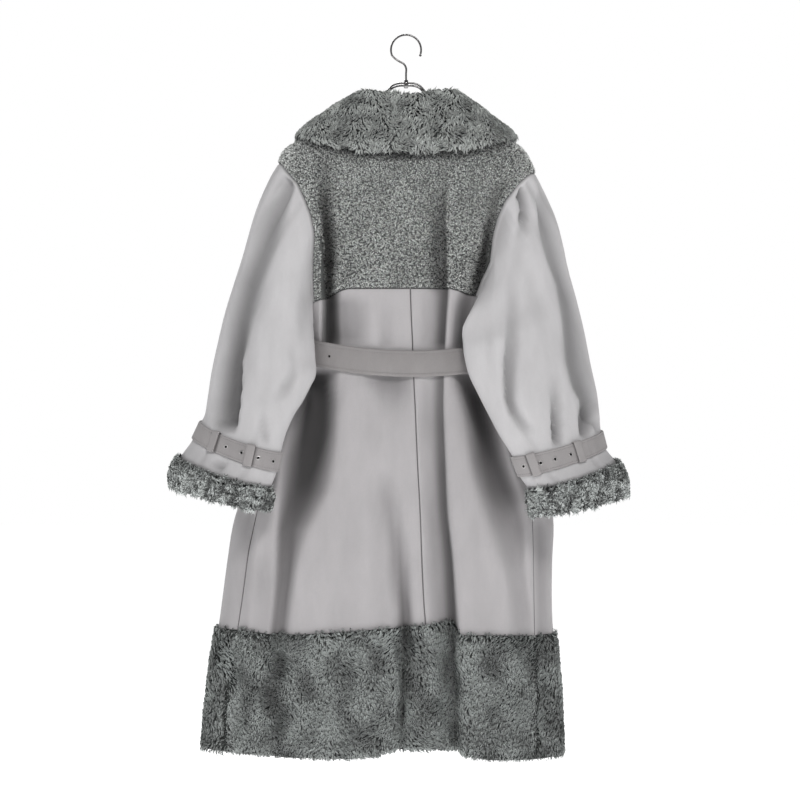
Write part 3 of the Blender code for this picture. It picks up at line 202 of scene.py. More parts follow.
frontCreases = [
    (70, -596, 78, -720, 2.6, 10), (36, -598, 40, -690, 2.0, 8), (-20, -596, -24, -760, 2.4, 10),
    (-62, -596, -70, -700, 2.6, 9), (-104, -600, -96, -680, 2.0, 9), (116, -600, 110, -660, 2.2, 8),
    (60, -800, 52, -1010, 2.8, 14), (-40, -840, -36, -1020, 2.4, 14), (-96, -860, -104, -1020, 2.6, 12),
    (220, -840, 232, -1020, 3.0, 14), (-200, -800, -208, -1010, 3.0, 12), (84, -466, 78, -540, 2.0, 9),
    (40, -460, 44, -538, 1.8, 9), (-46, -464, -40, -540, 2.0, 9), (-96, -466, -90, -540, 2.0, 8),
    (100, -300, 94, -430, 1.6, 14), (-96, -310, -90, -430, 1.6, 14),
    (130, -1060, 136, -1235, 3.6, 16), (40, -1060, 34, -1240, 3.0, 14), (-60, -1060, -66, -1245, 3.2, 14),
    (-130, -1060, -136, -1240, 3.0, 14), (240, -1060, 250, -1225, 3.0, 14)]
# seams across the coat and lower edges: x, height
hemTop = [(280, -1027), (230, -1032), (173, -1031), (117, -1027), (71, -1023), (26, -1020),
          (-34, -1014), (-81, -1010), (-93, -1032), (-137, -1033), (-178, -1035), (-205, -1037)]
hemBottom = [(290, -1234), (206, -1238), (93, -1239), (49, -1233), (26, -1223), (5, -1215),
             (-22, -1219), (-58, -1221), (-89, -1221), (-105, -1236), (-137, -1243), (-205, -1246)]
yokeBottom = [(157, -465), (139, -459.5), (116, -449), (100, -444), (-58, -444), (-75, -444),
              (-91, -448), (-105, -453), (-122, -455)]
frontHemTop = [(280, -1027), (180, -1030), (60, -1036), (-60, -1038), (-150, -1036), (-205, -1037)]
frontHemBottom = [(290, -1234), (200, -1240), (90, -1252), (0, -1257), (-90, -1256),
                  (-150, -1250), (-205, -1246)]
# rows of points by height, in metres, and cells from each long line to the next
yokeLevels = (-0.160, -0.181, -0.201, -0.2215, -0.2265, -0.233, -0.239, -0.2435, -0.251, -0.263,
              -0.282, -0.310, -0.345, -0.385, -0.422)
panelLevels = (-0.515, -0.545, -0.580, -0.615, -0.650, -0.690, -0.730, -0.775, -0.820, -0.870,
               -0.925, -0.980)
hemLevels = (-1.065, -1.110, -1.155, -1.190)
yokeColumns = (3, 10, 4, 1, 4)
backColumns = (5, 3, 10, 4, 1, 4, 6)
frontColumns = (4, 9)
body = {                         # lengths and heights in metres
    "finer": 3,                  # steps in each step of the plain solids
    "rounds": 8,                 # rounds that settle a panel's rows on its two seams
    "seamGap": 0.0004,
    "layerGap": 0.0020,          # between the two fronts where they wrap
    "power": 2.4,                # how square the sections are
    "frontOverlap": 0.060,
    "overlapBlend": 0.045,       # width over which the lower front steps in
    "overlapMargin": 0.018,
    "neck": -0.141,
    "frontYoke": -0.445,
    "cornerFrom": -0.46,         # from here the line below the armhole's corner moves, down to
    "cornerTo": -0.70,           # here, to the middle of its panel
    "knifeSpread": 0.046,        # from the knife fold's foot out to the plain cloth
    "sideFade": 2.2,             # how soon folds come up from the sides of the body
    "seamRoll": 0.0013,          # how far a cloth's edge turns in at its seam
    "fleeceRoll": 0.0008,
    "furRoll": 0.0010,
    "suedeWall": 0.0022,
    "furWall": 0.0040,
    "furBack": 0.0012,           # the fur's backing over the coat's own surface
    "fleeceWall": 0.0035,
    "fleeceBack": 0.0004,
}
# sleeve sections: outer end x, y, z, inner end x, y, z, half depth; the suede ends at row 13
sleeveTable = {
    1: [(231, -2, -236, 198, 4, -496, 66), (246, -4, -268, 191, 28, -510, 71),
        (262, -5, -308, 178, 52, -525, 72), (279, -6, -360, 163, 72, -546, 70),
        (296, -5, -418, 154, 84, -571, 67), (313, -2, -477, 154, 92, -593, 64),
        (325, 4, -530, 163, 97, -612, 61), (335, 12, -580, 175, 102, -636, 58),
        (341, 22, -625, 189, 110, -658, 54), (345, 30, -655, 203, 116, -690, 50),
        (351, 36, -669, 211, 120, -721, 48), (364, 44, -698, 218, 124, -754, 48),
        (386, 50, -730, 228, 129, -781, 55), (397, 54, -752, 229, 133, -801, 58),
        (397, 56, -776, 233, 135, -818, 56)],
    -1: [(-231, -2, -252, -188, 6, -488, 66), (-243, -4, -276, -178, 58, -492, 70),
         (-257, -3, -310, -138, 104, -490, 68), (-271, -3, -358, -104, 112, -492, 65),
         (-283, -4, -408, -96, 113, -508, 62), (-295, -2, -456, -96, 119, -545, 60),
         (-308, 4, -512, -104, 123, -587, 58), (-319, 12, -572, -121, 127, -624, 56),
         (-329, 22, -622, -138, 130, -658, 53), (-332, 30, -656, -156, 132, -692, 50),
         (-334, 36, -685, -178, 134, -728, 48), (-341, 42, -714, -191, 134, -762, 48),
         (-358, 47, -737, -205, 134, -783, 55), (-371, 50, -764, -210, 135, -809, 58),
         (-373, 52, -792, -215, 136, -827, 56)],
}
# folds of the sleeves' backs, in the same columns as the coat's own
sleeveBackFolds = {
    1: {
        "main valley": [
            (-245, 203, 0, 7, 7), (-257, 203, 16, 12, 10), (-272, 208, 14, 15, 15),
            (-295, 223, 14, 24, 30), (-329, 237, 16, 25, 37), (-363, 249, 17, 24, 41),
            (-405, 266, 18, 24, 42), (-431, 276, 19, 24, 42), (-498, 291, 22, 24, 37),
            (-540, 296, 25, 25, 30), (-566, 298, 27, 29, 22), (-600, 294, 29, 37, 17),
            (-633, 293, 30, 46, 14), (-667, 296, 27, 41, 14), (-681, 296, 8, 34, 14),
            (-691, 296, 0, 34, 14)],
        "dent below the seam": [
            (-437, 171, 0, 14, 14), (-464, 174, 6, 15, 14), (-502, 174, 5, 15, 14),
            (-539, 173, 0, 14, 14)],
        "dent above the elbow": [
            (-569, 188, 0, 12, 14), (-591, 191, 5, 17, 14), (-610, 201, 7, 19, 15),
            (-633, 210, 0, 17, 15)],
        "dent by the fur": [
            (-733, 315, 0, 14, 14), (-738, 315, 11, 14, 14), (-745, 313, 12, 12, 12),
            (-752, 313, 5, 10, 10), (-757, 311, 0, 8, 8)],
        "pucker at the strap": [
            (-642, 244, 0, 10, 10), (-674, 240, 5, 10, 12), (-694, 237, 6, 10, 12),
            (-711, 235, 0, 8, 10)],
    },
    -1: {
        "main valley": [
            (-258, -233, 0, 10, 14), (-295, -236, 11, 12, 20), (-333, -241, 15, 17, 24),
            (-363, -251, 15, 24, 24), (-397, -265, 17, 30, 22), (-431, -284, 18, 37, 20),
            (-498, -292, 19, 34, 22), (-542, -294, 19, 34, 27), (-566, -295, 19, 32, 30),
            (-608, -307, 20, 34, 24), (-633, -319, 20, 30, 19), (-659, -314, 22, 24, 17),
            (-681, -306, 20, 15, 14), (-698, -302, 0, 15, 14)],
        "pleat": [
            (-262, -197, 0, 5, 5), (-275, -201, 22, 7, 8), (-295, -202, 27, 7, 8),
            (-319, -202, 20, 8, 10), (-339, -201, 8, 14, 14), (-363, -194, 4, 15, 14),
            (-431, -182, 3, 17, 17), (-481, -182, 6, 17, 14), (-522, -177, 10, 14, 20),
            (-540, -174, 12, 10, 24), (-566, -169, 14, 8, 24), (-608, -169, 15, 8, 22),
            (-633, -169, 16, 7, 20), (-654, -177, 13, 8, 20), (-677, -199, 7, 17, 17),
            (-691, -206, 0, 17, 17)],
        "valley by the strap": [
            (-579, -253, 0, 14, 14), (-620, -253, 7, 14, 14), (-640, -253, 13, 12, 12),
            (-681, -253, 22, 10, 12), (-698, -253, 17, 10, 12), (-711, -253, 0, 10, 14)],
        "pucker": [
            (-637, -317, 0, 10, 10), (-657, -321, 9, 10, 10), (-674, -326, 12, 8, 10),
            (-691, -327, 0, 7, 8)],
    },
}
# folds of their fronts: side, rows of section, place (0 outer end, 1 inner end, to 2 round the
# front), depth in mm and half width in turns
sleeveFolds = [
    (1, [(1, 1.40, 2, 0.05), (4, 1.42, 14, 0.05), (8, 1.46, 12, 0.05), (10, 1.5, 2, 0.05)]),
    (1, [(4, 1.72, 0, 0.05), (7, 1.70, 9, 0.05), (10, 1.68, 2, 0.05)]),
    (-1, [(1, 1.40, 2, 0.05), (4, 1.44, 14, 0.05), (8, 1.42, 12, 0.05), (10, 1.4, 2, 0.05)]),
    (-1, [(4, 1.72, 0, 0.05), (7, 1.74, 9, 0.05), (10, 1.7, 2, 0.05)]),
]
# finer creases of the sleeves, in the same columns
sleeveCreases = [
    (1, [(8.6, 0.34, 0, 0.016), (10.2, 0.36, 2.6, 0.018), (11.5, 0.36, 0.6, 0.018),
         (12.4, 0.37, 3.2, 0.016), (13, 0.38, 2.0, 0.016)]),
    (1, [(9.2, 0.80, 0, 0.016), (10.4, 0.80, 2.4, 0.016), (11.5, 0.80, 0.6, 0.016),
         (12.5, 0.78, 3.0, 0.018), (13, 0.78, 2, 0.016)]),
    (1, [(2.2, 0.46, 0, 0.03), (4, 0.48, 2.6, 0.03), (7, 0.50, 2.2, 0.03), (9, 0.50, 0, 0.03)]),
    (1, [(3, 0.04, 0, 0.02), (5, 0.05, 2.4, 0.025), (8, 0.06, 2, 0.025), (10, 0.06, 0, 0.02)]),
    (1, [(4, 0.86, 0, 0.02), (5.4, 0.90, 2.6, 0.02), (7, 0.90, 0, 0.02)]),
    (1, [(8.8, 1.30, 0, 0.02), (10.3, 1.28, 2.6, 0.018), (12.4, 1.28, 2.6, 0.018), (13, 1.28, 1, 0.02)]),
    (-1, [(8.4, 0.36, 0, 0.016), (10, 0.34, 4.2, 0.018), (11.5, 0.34, 0.6, 0.018),
          (12.4, 0.35, 3.2, 0.016), (13, 0.35, 2.0, 0.016)]),
    (-1, [(9, 0.86, 0, 0.016), (10.4, 0.84, 2.6, 0.016), (11.5, 0.82, 0.6, 0.016),
          (12.5, 0.80, 3.0, 0.018), (13, 0.80, 2, 0.016)]),
    (-1, [(2, 0.44, 0, 0.03), (4, 0.46, 2.8, 0.03), (6, 0.46, 2.4, 0.03), (8, 0.44, 0, 0.03)]),
    (-1, [(3, 0.03, 0, 0.02), (5, 0.04, 2.4, 0.025), (8, 0.05, 2, 0.025), (10, 0.06, 0, 0.02)]),
    (-1, [(4.4, 0.90, 0, 0.02), (6, 0.88, 2.6, 0.02), (8, 0.90, 0, 0.02)]),
    (-1, [(8.8, 1.32, 0, 0.02), (10.3, 1.30, 2.6, 0.018), (12.4, 1.30, 2.6, 0.018), (13, 1.3, 1, 0.02)]),
]
# pleats at the sleeve head: side, place in turns from the shoulder, depth mm, half width in turns
headPleats = [
    (1, 0.045, 5, 0.014), (1, 0.095, 6.5, 0.015), (1, 0.145, 5, 0.016), (1, 0.20, 3, 0.016),
    (1, -0.05, 5, 0.015), (1, -0.10, 5, 0.016), (1, -0.16, 3, 0.018),
    (-1, 0.045, 5, 0.014), (-1, 0.095, 7, 0.016), (-1, 0.150, 5, 0.016), (-1, 0.21, 3, 0.016),
    (-1, -0.05, 5, 0.015), (-1, -0.10, 5, 0.016), (-1, -0.16, 3, 0.018)]
sleeve = {                       # lengths in metres
    "finer": 4,                  # rings in each step of the suede
    "power": 2.3,                # how square the rings are
    "join": {1: 5, -1: 6},       # section that the head runs down to
    "innerFrom": {1: 5, -1: 4},  # section where the inner end's route starts
    "outerBell": 0.10,           # in turns, how far round a ring its outer end's route is felt
    "innerBell": 0.07,           # the same of its inner end's
    "headShares": (0.03, 0.07, 0.12, 0.18, 0.25, 0.33, 0.42, 0.52, 0.62, 0.72, 0.82, 0.92),
    "halfSteps": 48,             # points on each half of the ring
    "puff": 0.010,               # how far the gathered head stands out
    "puffEarly": 1.3,            # above 1 the puff ends before the head does
    "puffPower": 0.7,
    "evenFrom": 4.0,             # section from which rings are stepped evenly
    "backFade": 3,               # how soon folds come up from the sides of a sleeve
    "strapRings": (10.95, 11.9),   # rings beside the strap
    "seamRise": 0.0012,          # a ring close to the seam, so far down and in from it
    "seamSink": 0.0002,
    "seamDark": ((1.0,), (0.7,)),   # shade of the rings at the armhole and at the lower end
    "endDark": ((0.0,), (0.6,)),
    "pleatRows": 3.4,            # section where the head's pleats end
    "undersideFlat": 0.52,
    "turnUp": 0.004,             # the gathers stand up and out at the armhole
    "turnOut": 0.003,
    "strapFrom": 11.0,           # from here on, places down the sleeve in sections
    "strapTo": 12.0,
    "suedeEnd": 12.975,
    "furFrom": 13.01,
    "furTo": 15.0,
    "furRows": 14,
    "furSteps": 72,              # points round the cuff's fur
    "furBack": 0.0006,           # the fur's backing over the section's own surface
    "furWall": 0.0035,
    "strapSteps": 144,
    "strapClear": 0.0010,
    "strapThick": 0.0030,
}
# collar: angle from the centre back, the roll's x, y, z and the lower edge's x, y, z
collarRows = [
    (0, 0, 62, -119, 0, 108, -212), (25, 40, 58, -115, 58, 106, -210), (50, 72, 42, -109, 116, 94, -202),
    (72, 88, 18, -109, 165, 61, -186), (90, 94, -8, -114, 185, 12, -175),
    (108, 95, -38, -122, 186, -41, -182), (126, 85, -76, -147, 164, -94, -212),
    (142, 63, -108, -184, 136, -124, -244),
    (156, 39, -124, -226, 100, -137, -284), (168, 15, -131, -262, 56, -142, -322)]
# backing of the collar: share of the way from roll to edge, height over that line
collarBacking = [
    (-0.07, -6), (-0.05, 0), (0.05, 4.5), (0.28, 7.5), (0.52, 8), (0.76, 6.5), (0.91, 3.5),
    (0.985, 0.3), (0.97, -2), (0.86, -2), (0.62, 0), (0.36, 2), (0.20, -2.5), (0.15, -11), (0.04, -11.5)]
collar = {
    "steps": 90,                 # rings from lapel to lapel
    "profileFiner": 4,
    "furFrom": 12,               # the fur covers the profile from this row round to furTo
    "furTo": 8,
    "thinFrom": 95,              # angle where the backing starts to grow thin, in degrees
    "thinOver": 30,
    "thinBy": 0.6,
    "thinBelow": -5,             # the rows of the profile that grow thin, below this height in mm
    "swaySize": 0.11,            # the backing's waves along the collar, in metres
    "sway": 0.0016,
    "swaySeed": 5,
}
# fold, crease and seam shapes, and the painted shade in folds, under the collar and by seams
folds = {
    "floor": 1.3,                # how broad the floor of a valley is
    "darkAt": 0.050,             # depth in metres that lies in full shade
    "sleeveDark": 0.025,         # the same on a sleeve
    "creaseSway": 1.5,           # how far a crease sways from its straight line, in mm
    "creaseTurns": 5.0,          # and how often, in radians over its length
    "creaseFade": 5,
    "wallShade": 2.2,            # how much of the knife fold's wall lies in its shade
    "softPower": 2,              # how close to the foot the soft shade keeps
    "linePower": 10,             # and the dark line
    "collarAbove": 0.05,         # shade over and under the collar's lower edge, in metres
    "collarShade": 0.022,
    "collarDark": 0.9,
    "collarSide": -0.2,          # cosine of the angle where this shade ends at the front
    "seamRows": (0.0006, 0.0014),   # extra rows of points this far from a seam
    "seamLimits": (0.3, 0.4),    # but no further than these shares of the first step
    "seamPush": (1.0, 0.5, 0.05),   # shares of the roll that each row from the edge is pushed in
    "seamShade": 1.6,
    "seamShadeFrom": 0.1,
}


# curves and the coat's own surface
def smoothCurve(places, values, at):
    # cubic through the rows, each row's slope taken from its two neighbours
    places = np.asarray(places, float)
    values = np.asarray(values, float)
    if places[0] > places[-1]:
        places, values = places[::-1], values[::-1]
    at = np.clip(at, places[0], places[-1])
    slopes = np.gradient(values, places)
    left = np.clip(np.searchsorted(places, at) - 1, 0, len(places) - 2)
    span = places[left + 1] - places[left]
    t = (at - places[left]) / span
    return ((2 * t**3 - 3 * t**2 + 1) * values[left] + (t**3 - 2 * t**2 + t) * span * slopes[left]
            + (3 * t**2 - 2 * t**3) * values[left + 1] + (t**3 - t**2) * span * slopes[left + 1])


def straightLine(places, values, at):
    # straight runs between the rows
    order = np.argsort(places)
    return np.interp(at, np.asarray(places)[order], np.asarray(values)[order])


def readColumn(table, head, name, z, curve=smoothCurve):
    # one column of a millimetre table at heights z in metres
    rows = np.asarray(table, float)
    return curve(rows[:, 0] * mm, rows[:, head.index(name)] * mm, z)


def seamHeight(table, x):
    # height of a seam across the coat at places x, straight between the rows of its table
    rows = np.asarray(table, float) * mm
    return straightLine(rows[:, 0], rows[:, 1], x)


def dip(offset, plus, minus):
    # half a cosine wave with a broad floor: 1 at offset 0, 0 past its two widths
    share = np.where(offset > 0, offset / plus, -offset / minus)
    return 0.5 + 0.5 * np.cos(np.pi * np.clip(share, 0, 1) ** folds["floor"])


def squared(values, power):
    # sign(v) * |v|^power, which makes a superellipse out of a circle's sine and cosine
    return np.sign(values) * np.abs(values) ** power


def unit(v):
    # v / |v|
    return v / np.maximum(np.linalg.norm(v, axis=-1, keepdims=True), 1e-12)


def lengthAlong(points):
    # the way along a line of points from its first one: sum of the steps' lengths
    return np.concatenate([[0], np.cumsum(np.linalg.norm(np.diff(points, axis=0), axis=-1))])


def pointsAt(at, places, points):
    # points at other places along their line, straight between the given ones
    return np.stack([np.interp(at, places, points[:, n]) for n in range(3)], -1)


def sectionAt(z):
    # (left + right) / 2, (left - right) / 2, and the depths at heights z
    left, right, back, front = [readColumn(bodyRows, bodyHead, n, z) for n in bodyHead[1:]]
    return (left + right) / 2, (left - right) / 2, back, front


def angleAt(x, z, face):
    # angle round the body, 0 at the centre back and growing towards +X, of a place x on it:
    # arcsin(|share|^(p/2)), where share is x from the middle over half the width
    middle, half, _, _ = sectionAt(z)
    share = np.clip((x - middle) / half, -1, 1)
    angle = np.arcsin(np.abs(share) ** (body["power"] / 2)) * np.sign(share)
    return angle if face == "back" else np.pi - angle


def plainBody(angle, z):
    # superellipse: x = half * sin^(2/p), y = depth * cos^(2/p)
    middle, half, back, front = sectionAt(z)
    power = 2 / body["power"]
    sine, cosine = np.sin(angle), np.cos(angle)
    return (middle + half * squared(sine, power),
            np.where(cosine > 0, back, -front) * squared(cosine, power))


def foldDepth(x, z, tables):
    # sum of cosine valleys whose place, depth and widths run down the table's rows
    total = np.zeros(np.shape(x))
    for table in tables.values():
        rows = np.asarray(table, float) * mm
        place, depth, plus, minus = [straightLine(rows[:, 0], rows[:, n], z) for n in (1, 2, 3, 4)]
        inside = (z <= rows[:, 0].max()) & (z >= rows[:, 0].min())
        total = total + np.where(inside, depth * dip(x - place, plus, minus), 0)
    return total


def creaseDepth(x, z, creases):
    # each crease is a bell exp(-(x - middle)^2 / width^2) across a line that sways a little,
    # faded at its two ends
    total = np.zeros(np.shape(x))
    past, outside = 0.05, 0.2     # shares of a crease's length that it fades over and is followed to
    for x0, z0, x1, z1, depth, width in creases:
        run = np.clip((z0 * mm - z) / ((z0 - z1) * mm), -outside, 1 + outside)
        sway = folds["creaseSway"] * np.sin(run * folds["creaseTurns"] + x0)
        middle = (x0 + (x1 - x0) * run + sway) * mm
        fade = np.clip(np.minimum(run + past, 1 + past - run) * folds["creaseFade"], 0, 1)
        total = total + depth * mm * np.exp(-((x - middle) / (width * mm)) ** 2) * fade
    return total


def knifeShare(x, z, wall=1.0):
    # the knife fold: a straight fall from crest to foot, times wall, then half a cosine out again
    foot = readColumn(seamRows, seamHead, "foot", z)
    crest = readColumn(seamRows, seamHead, "crest", z)
    rise = np.clip((foot - x) / (foot - crest), 0, 1)
    return np.where(x < foot, np.clip((1 - rise) * wall, 0, 1), dip(x - foot, body["knifeSpread"], 1.0))


def knifeDepth(x, z):
    # the knife fold's share of its depth at each height
    return knifeShare(x, z) * readColumn(knifeRows, ("z", "depth"), "depth", z, straightLine)


def plainNormal(angle, z):
    # cross product of the steps up and round the unfolded body
    turn, rise = 0.02, 0.004
    (x0, y0), (x1, y1) = plainBody(angle - turn, z), plainBody(angle + turn, z)
    low, high = plainBody(angle, z - rise), plainBody(angle, z + rise)
    around = np.stack([x1 - x0, y1 - y0, 0 * x0], -1)
    upward = np.stack([high[0] - low[0], high[1] - low[1], 0 * x0 + 2 * rise], -1)
    return unit(np.cross(upward, around))


def pressedIn(angle, z):
    # how deep the cloth lies: the sum of its folds and creases, on the back or the front, that
    # fades out to the sides
    x, _ = plainBody(angle, z)
    cosine = np.cos(angle)
    fade = np.clip(np.abs(cosine) * body["sideFade"], 0, 1)
    back = foldDepth(x, z, backFolds) + knifeDepth(x, z) + creaseDepth(x, z, backCreases)
    front = foldDepth(x, z, frontFolds) + creaseDepth(x, z, frontCreases)
    return np.where(cosine > 0, back, front) * fade


def foldShade(angle, z):
    # painted shade, how far light is kept from each place: by its depth, as a soft shade and a thin dark
    # line in the knife fold, and full where the collar's lower edge hangs over the yoke as its painted
    # shadow
    x, _ = plainBody(angle, z)
    onBack = np.cos(angle) > 0
    knife = knifeDepth(x, z) * onBack
    share = knifeShare(x, z, folds["wallShade"]) * onBack
    soft, line = [readColumn(knifeShades, ("z", "soft", "line"), n, z, straightLine) / mm
                  for n in ("soft", "line")]
    dips = pressedIn(angle, z) - knife + foldDepth(x, z, backShades) * onBack
    shade = (dips / folds["darkAt"] + soft * share ** folds["softPower"]
             + line * share ** folds["linePower"])
    rows = np.asarray(collarRows, float)[:5] * mm
    edge = np.interp(np.abs(x), rows[:, 4], rows[:, 6])
    collarShadow = dip(z - edge, folds["collarAbove"], folds["collarShade"]) * folds["collarDark"]
    return np.clip(np.maximum(shade, collarShadow * (np.cos(angle) > folds["collarSide"])), 0, 1)


def coatBody(angle, z):
    # the superellipse with every fold and crease pressed into its back and its front
    angle = np.asarray(angle, float) + 0 * z
    z = np.asarray(z, float) + 0 * angle
    x, y = plainBody(angle, z)
    return np.stack([x, y - np.sign(np.cos(angle)) * pressedIn(angle, z), z], -1)


def seamAngle(name, z):
    # angle of one of the back's long lines; the side seams run straight between their rows
    curve = straightLine if name.startswith("side") else smoothCurve
    return angleAt(readColumn(seamRows, seamHead, name, z, curve), z, "back")


def armholeAngle(side, face, z):
    # angle of the armhole's edge on the back or the front
    name = ("left" if side > 0 else "right") + face.capitalize()
    return angleAt(readColumn(armholeRows, armholeHead, name, z, straightLine), z, face)


def yokeEdge(side, face, z):
    # the shoulder seam, then the armhole
    shoulder = side * shoulderSeam + (2 * np.pi if face == "front" and side < 0 else 0)
    return np.where(z > armholeTop[side] + 1e-6, shoulder, armholeAngle(side, face, z))


def sideSeam(side, face, z):
    # angle of a side seam, a full turn on where the right front counts on from the left
    angle = seamAngle("sideLeft" if side > 0 else "sideRight", z)
    return angle if side > 0 or face == "back" else angle + 2 * np.pi


def cornerHeight(side, face):
    # where the yoke's seam meets the armhole, found by stepping from one to the other
    if face == "front":
        return body["frontYoke"]
    height, rounds = -0.455, 6
    name = ("left" if side > 0 else "right") + "Back"
    for _ in range(rounds):
        x = readColumn(armholeRows, armholeHead, name, height, straightLine)
        height = float(seamHeight(yokeBottom, x))
    return height


def cornerLine(side, face, inner):
    # a line down the panel from the armhole's corner, at a share of the way to the side seam
    height = cornerHeight(side, face)
    corner = float(armholeAngle(side, face, height))
    share = (corner - float(inner(height))) / (float(sideSeam(side, face, height)) - float(inner(height)))

    def line(z):
        blend = np.clip((body["cornerFrom"] - z) / (body["cornerFrom"] - body["cornerTo"]), 0, 1)
        even = share * (1 - blend) + 0.5 * blend
        return inner(z) * (1 - even) + sideSeam(side, face, z) * even
    return line


def underarm(side, face, seam):
    # the yoke's seam, then a quarter sine down to the underarm
    height = cornerHeight(side, face)
    corner = float(armholeAngle(side, face, height))
    end = float(sideSeam(side, face, armholeBottom))

    def line(x, angle):
        share = np.clip((angle - corner) / (end - corner), 0, 1)
        low = height + (armholeBottom - height) * np.sin(share * np.pi / 2)
        return np.where((angle - corner) * (end - corner) > 0, low, seam(x, angle))
    return line


def shifted(edge, distance):
    # an edge moved along the surface: angle + turn * distance / length of the turn
    turn = 0.01

    def moved(z):
        angle = edge(z)
        reach = np.linalg.norm(coatBody(angle + turn, z) - coatBody(angle, z), axis=-1)
        return angle + turn * distance / np.maximum(reach, 1e-5)
    return moved


def finer(values, times):
    # times steps in place of each one, straight between the values
    values = np.asarray(values, float)
    return np.interp(np.arange((len(values) - 1) * times + 1) / times, np.arange(len(values)), values)


def panelGrid(lines, counts, top, rows, bottom, out, soft=0, inset=None):
    # a grid between lines (angles by height) and two seams (heights by x and angle), with its outward
    # directions and its painted fold shade
    times = body["finer"]
    counts = [c * times for c in counts]
    shares = np.concatenate([np.linspace(n, n + 1, c, endpoint=False) for n, c in enumerate(counts)]
                            + [[len(counts)]])
    low = np.clip(np.floor(shares).astype(int), 0, len(counts) - 1)
    part = (shares - low)[None, :]
    picks = np.arange(len(shares))
    inner = finer(rows, times)
    soft = (soft + 1) * times
    apart = 0.01             # first guess of the end rows, settled on the seams in rounds
    heights = np.concatenate([[rows[0] + apart] * soft, inner, [rows[-1] - apart] * times])
    z = np.repeat(heights[:, None], len(shares), axis=1)
    for _ in range(body["rounds"]):
        places = np.stack([line(z) for line in lines])
        angle = places[low, :, picks].T * (1 - part) + places[low + 1, :, picks].T * part
        x = coatBody(angle, z)[..., 0]
        z[0] = top(x[0], angle[0])
        z[-1] = bottom(x[-1], angle[-1])
        for n in range(1, soft):
            z[n] = z[0] + (rows[0] - z[0]) * n / soft
        for n in range(1, times):
            z[-1 - n] = z[-1] + (rows[-1] - z[-1]) * n / times
    outward = plainNormal(angle, z)
    outer = coatBody(angle, z) + outward * out
    if inset is not None:
        outer = outer - outward * inset(outer[..., 0])[..., None]
    return outer, outward, foldShade(angle, z)


def insertLines(grid):
    # extra rows near both ends of axis 0: end + step * distance / length of the step
    def nearEnd(end, following):
        step = following - end
        reach = np.linalg.norm(step[..., :3], axis=-1, keepdims=True)
        return [end + step * np.minimum(far / reach, limit)
                for far, limit in zip(folds["seamRows"], folds["seamLimits"])]
    return np.stack([grid[0], *nearEnd(grid[0], grid[1]), *grid[1:-1],
                     *nearEnd(grid[-1], grid[-2])[::-1], grid[-1]])


def rolledEdges(outer, outward, fold, depth):
    # a cloth whose edges turn in towards its seams: rows close to the edge, pushed in by shares of
    # depth. Its lie holds painted shade: near a seam, where the edge turns in, and in the folds.
    both = np.concatenate([outer, outward, fold[..., None]], -1)
    both = insertLines(insertLines(both).transpose(1, 0, 2)).transpose(1, 0, 2)
    push = np.zeros(both.shape[:2])
    for n, share in enumerate(folds["seamPush"]):
        for edge in (np.s_[n], np.s_[-1 - n], np.s_[:, n], np.s_[:, -1 - n]):
            push[edge] = np.maximum(push[edge], share)
    plain, outward = both[..., :3], unit(both[..., 3:6])
    seamGrooveShade = np.clip(push * folds["seamShade"], 0, 1) * (push > folds["seamShadeFrom"])
    lie = np.stack([seamGrooveShade, both[..., 6]], -1)
    return plain - outward * (push * depth)[..., None], plain, outward, lie


# meshes
def meshObject(name, points, faces, finish, slotName, closed=True):
    # points as rows, faces as arrays of corner numbers; a closed shell is turned to face outwards
    faces = [np.asarray(f) for f in faces if len(f)]
    if closed:
        total = 0.0
        middle = points.mean(axis=0)
        for f in faces:
            for n in range(1, f.shape[1] - 1):
                a, b, c = points[f[:, 0]] - middle, points[f[:, n]] - middle, points[f[:, n + 1]] - middle
                total += np.einsum("ij,ij->i", a, np.cross(b, c)).sum()
        if total < 0:
            faces = [f[:, ::-1] for f in faces]
    mesh = bpy.data.meshes.new(name)
    mesh.vertices.add(len(points))
    mesh.vertices.foreach_set("co", np.ascontiguousarray(points, np.float32).ravel())
    corners = np.concatenate([f.ravel() for f in faces]).astype(np.int32)
    sizes = np.concatenate([np.full(len(f), f.shape[1]) for f in faces])
    mesh.loops.add(len(corners))
    mesh.loops.foreach_set("vertex_index", corners)
    mesh.polygons.add(len(sizes))
    mesh.polygons.foreach_set("loop_start", (np.cumsum(sizes) - sizes).astype(np.int32))
    mesh.update(calc_edges=True)
    mesh.validate()
    mesh.shade_smooth()
    mesh.materials.append(finish)
    made = bpy.data.objects.new(name, mesh)
    bpy.context.collection.objects.link(made)
    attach(made, "root")
    return made


def gridFaces(rows, columns, wrapRows=False, wrapColumns=False):
    # four corners of every cell of a grid of points
    r = np.arange(rows if wrapRows else rows - 1)
    c = np.arange(columns if wrapColumns else columns - 1)
    r, c = [v.ravel() for v in np.meshgrid(r, c, indexing="ij")]
    down, along = (r + 1) % rows, (c + 1) % columns
    return np.stack([r * columns + c, r * columns + along, down * columns + along, down * columns + c], 1)


def wallFaces(rows, columns, closed):
    # outer grid, inner grid turned round, and the rims that join them
    outer = gridFaces(rows, columns, wrapColumns=closed)
    count = rows * columns
    wrap = columns if closed else columns - 1
    c = np.arange(wrap)
    n = (c + 1) % columns
    last = (rows - 1) * columns
    rims = [np.stack([n, c, count + c, count + n], 1),
            np.stack([last + c, last + n, count + last + n, count + last + c], 1)]
    if not closed:
        r = np.arange(rows - 1) * columns
        rims += [np.stack([r, r + columns, count + r + columns, count + r], 1),
                 np.stack([r + 2 * columns - 1, r + columns - 1, count + r + columns - 1,
                           count + r + 2 * columns - 1], 1)]
    return [outer, outer[:, ::-1] + count] + rims


def paint(made, layerName, values):
    # values by point, as red, green and blue of one attribute
    colours = np.ones((len(values), 4), np.float32)
    colours[:, :values.shape[1]] = values
    layer = made.data.attributes.new(layerName, "FLOAT_COLOR", "POINT")
    layer.data.foreach_set("color", colours.ravel())


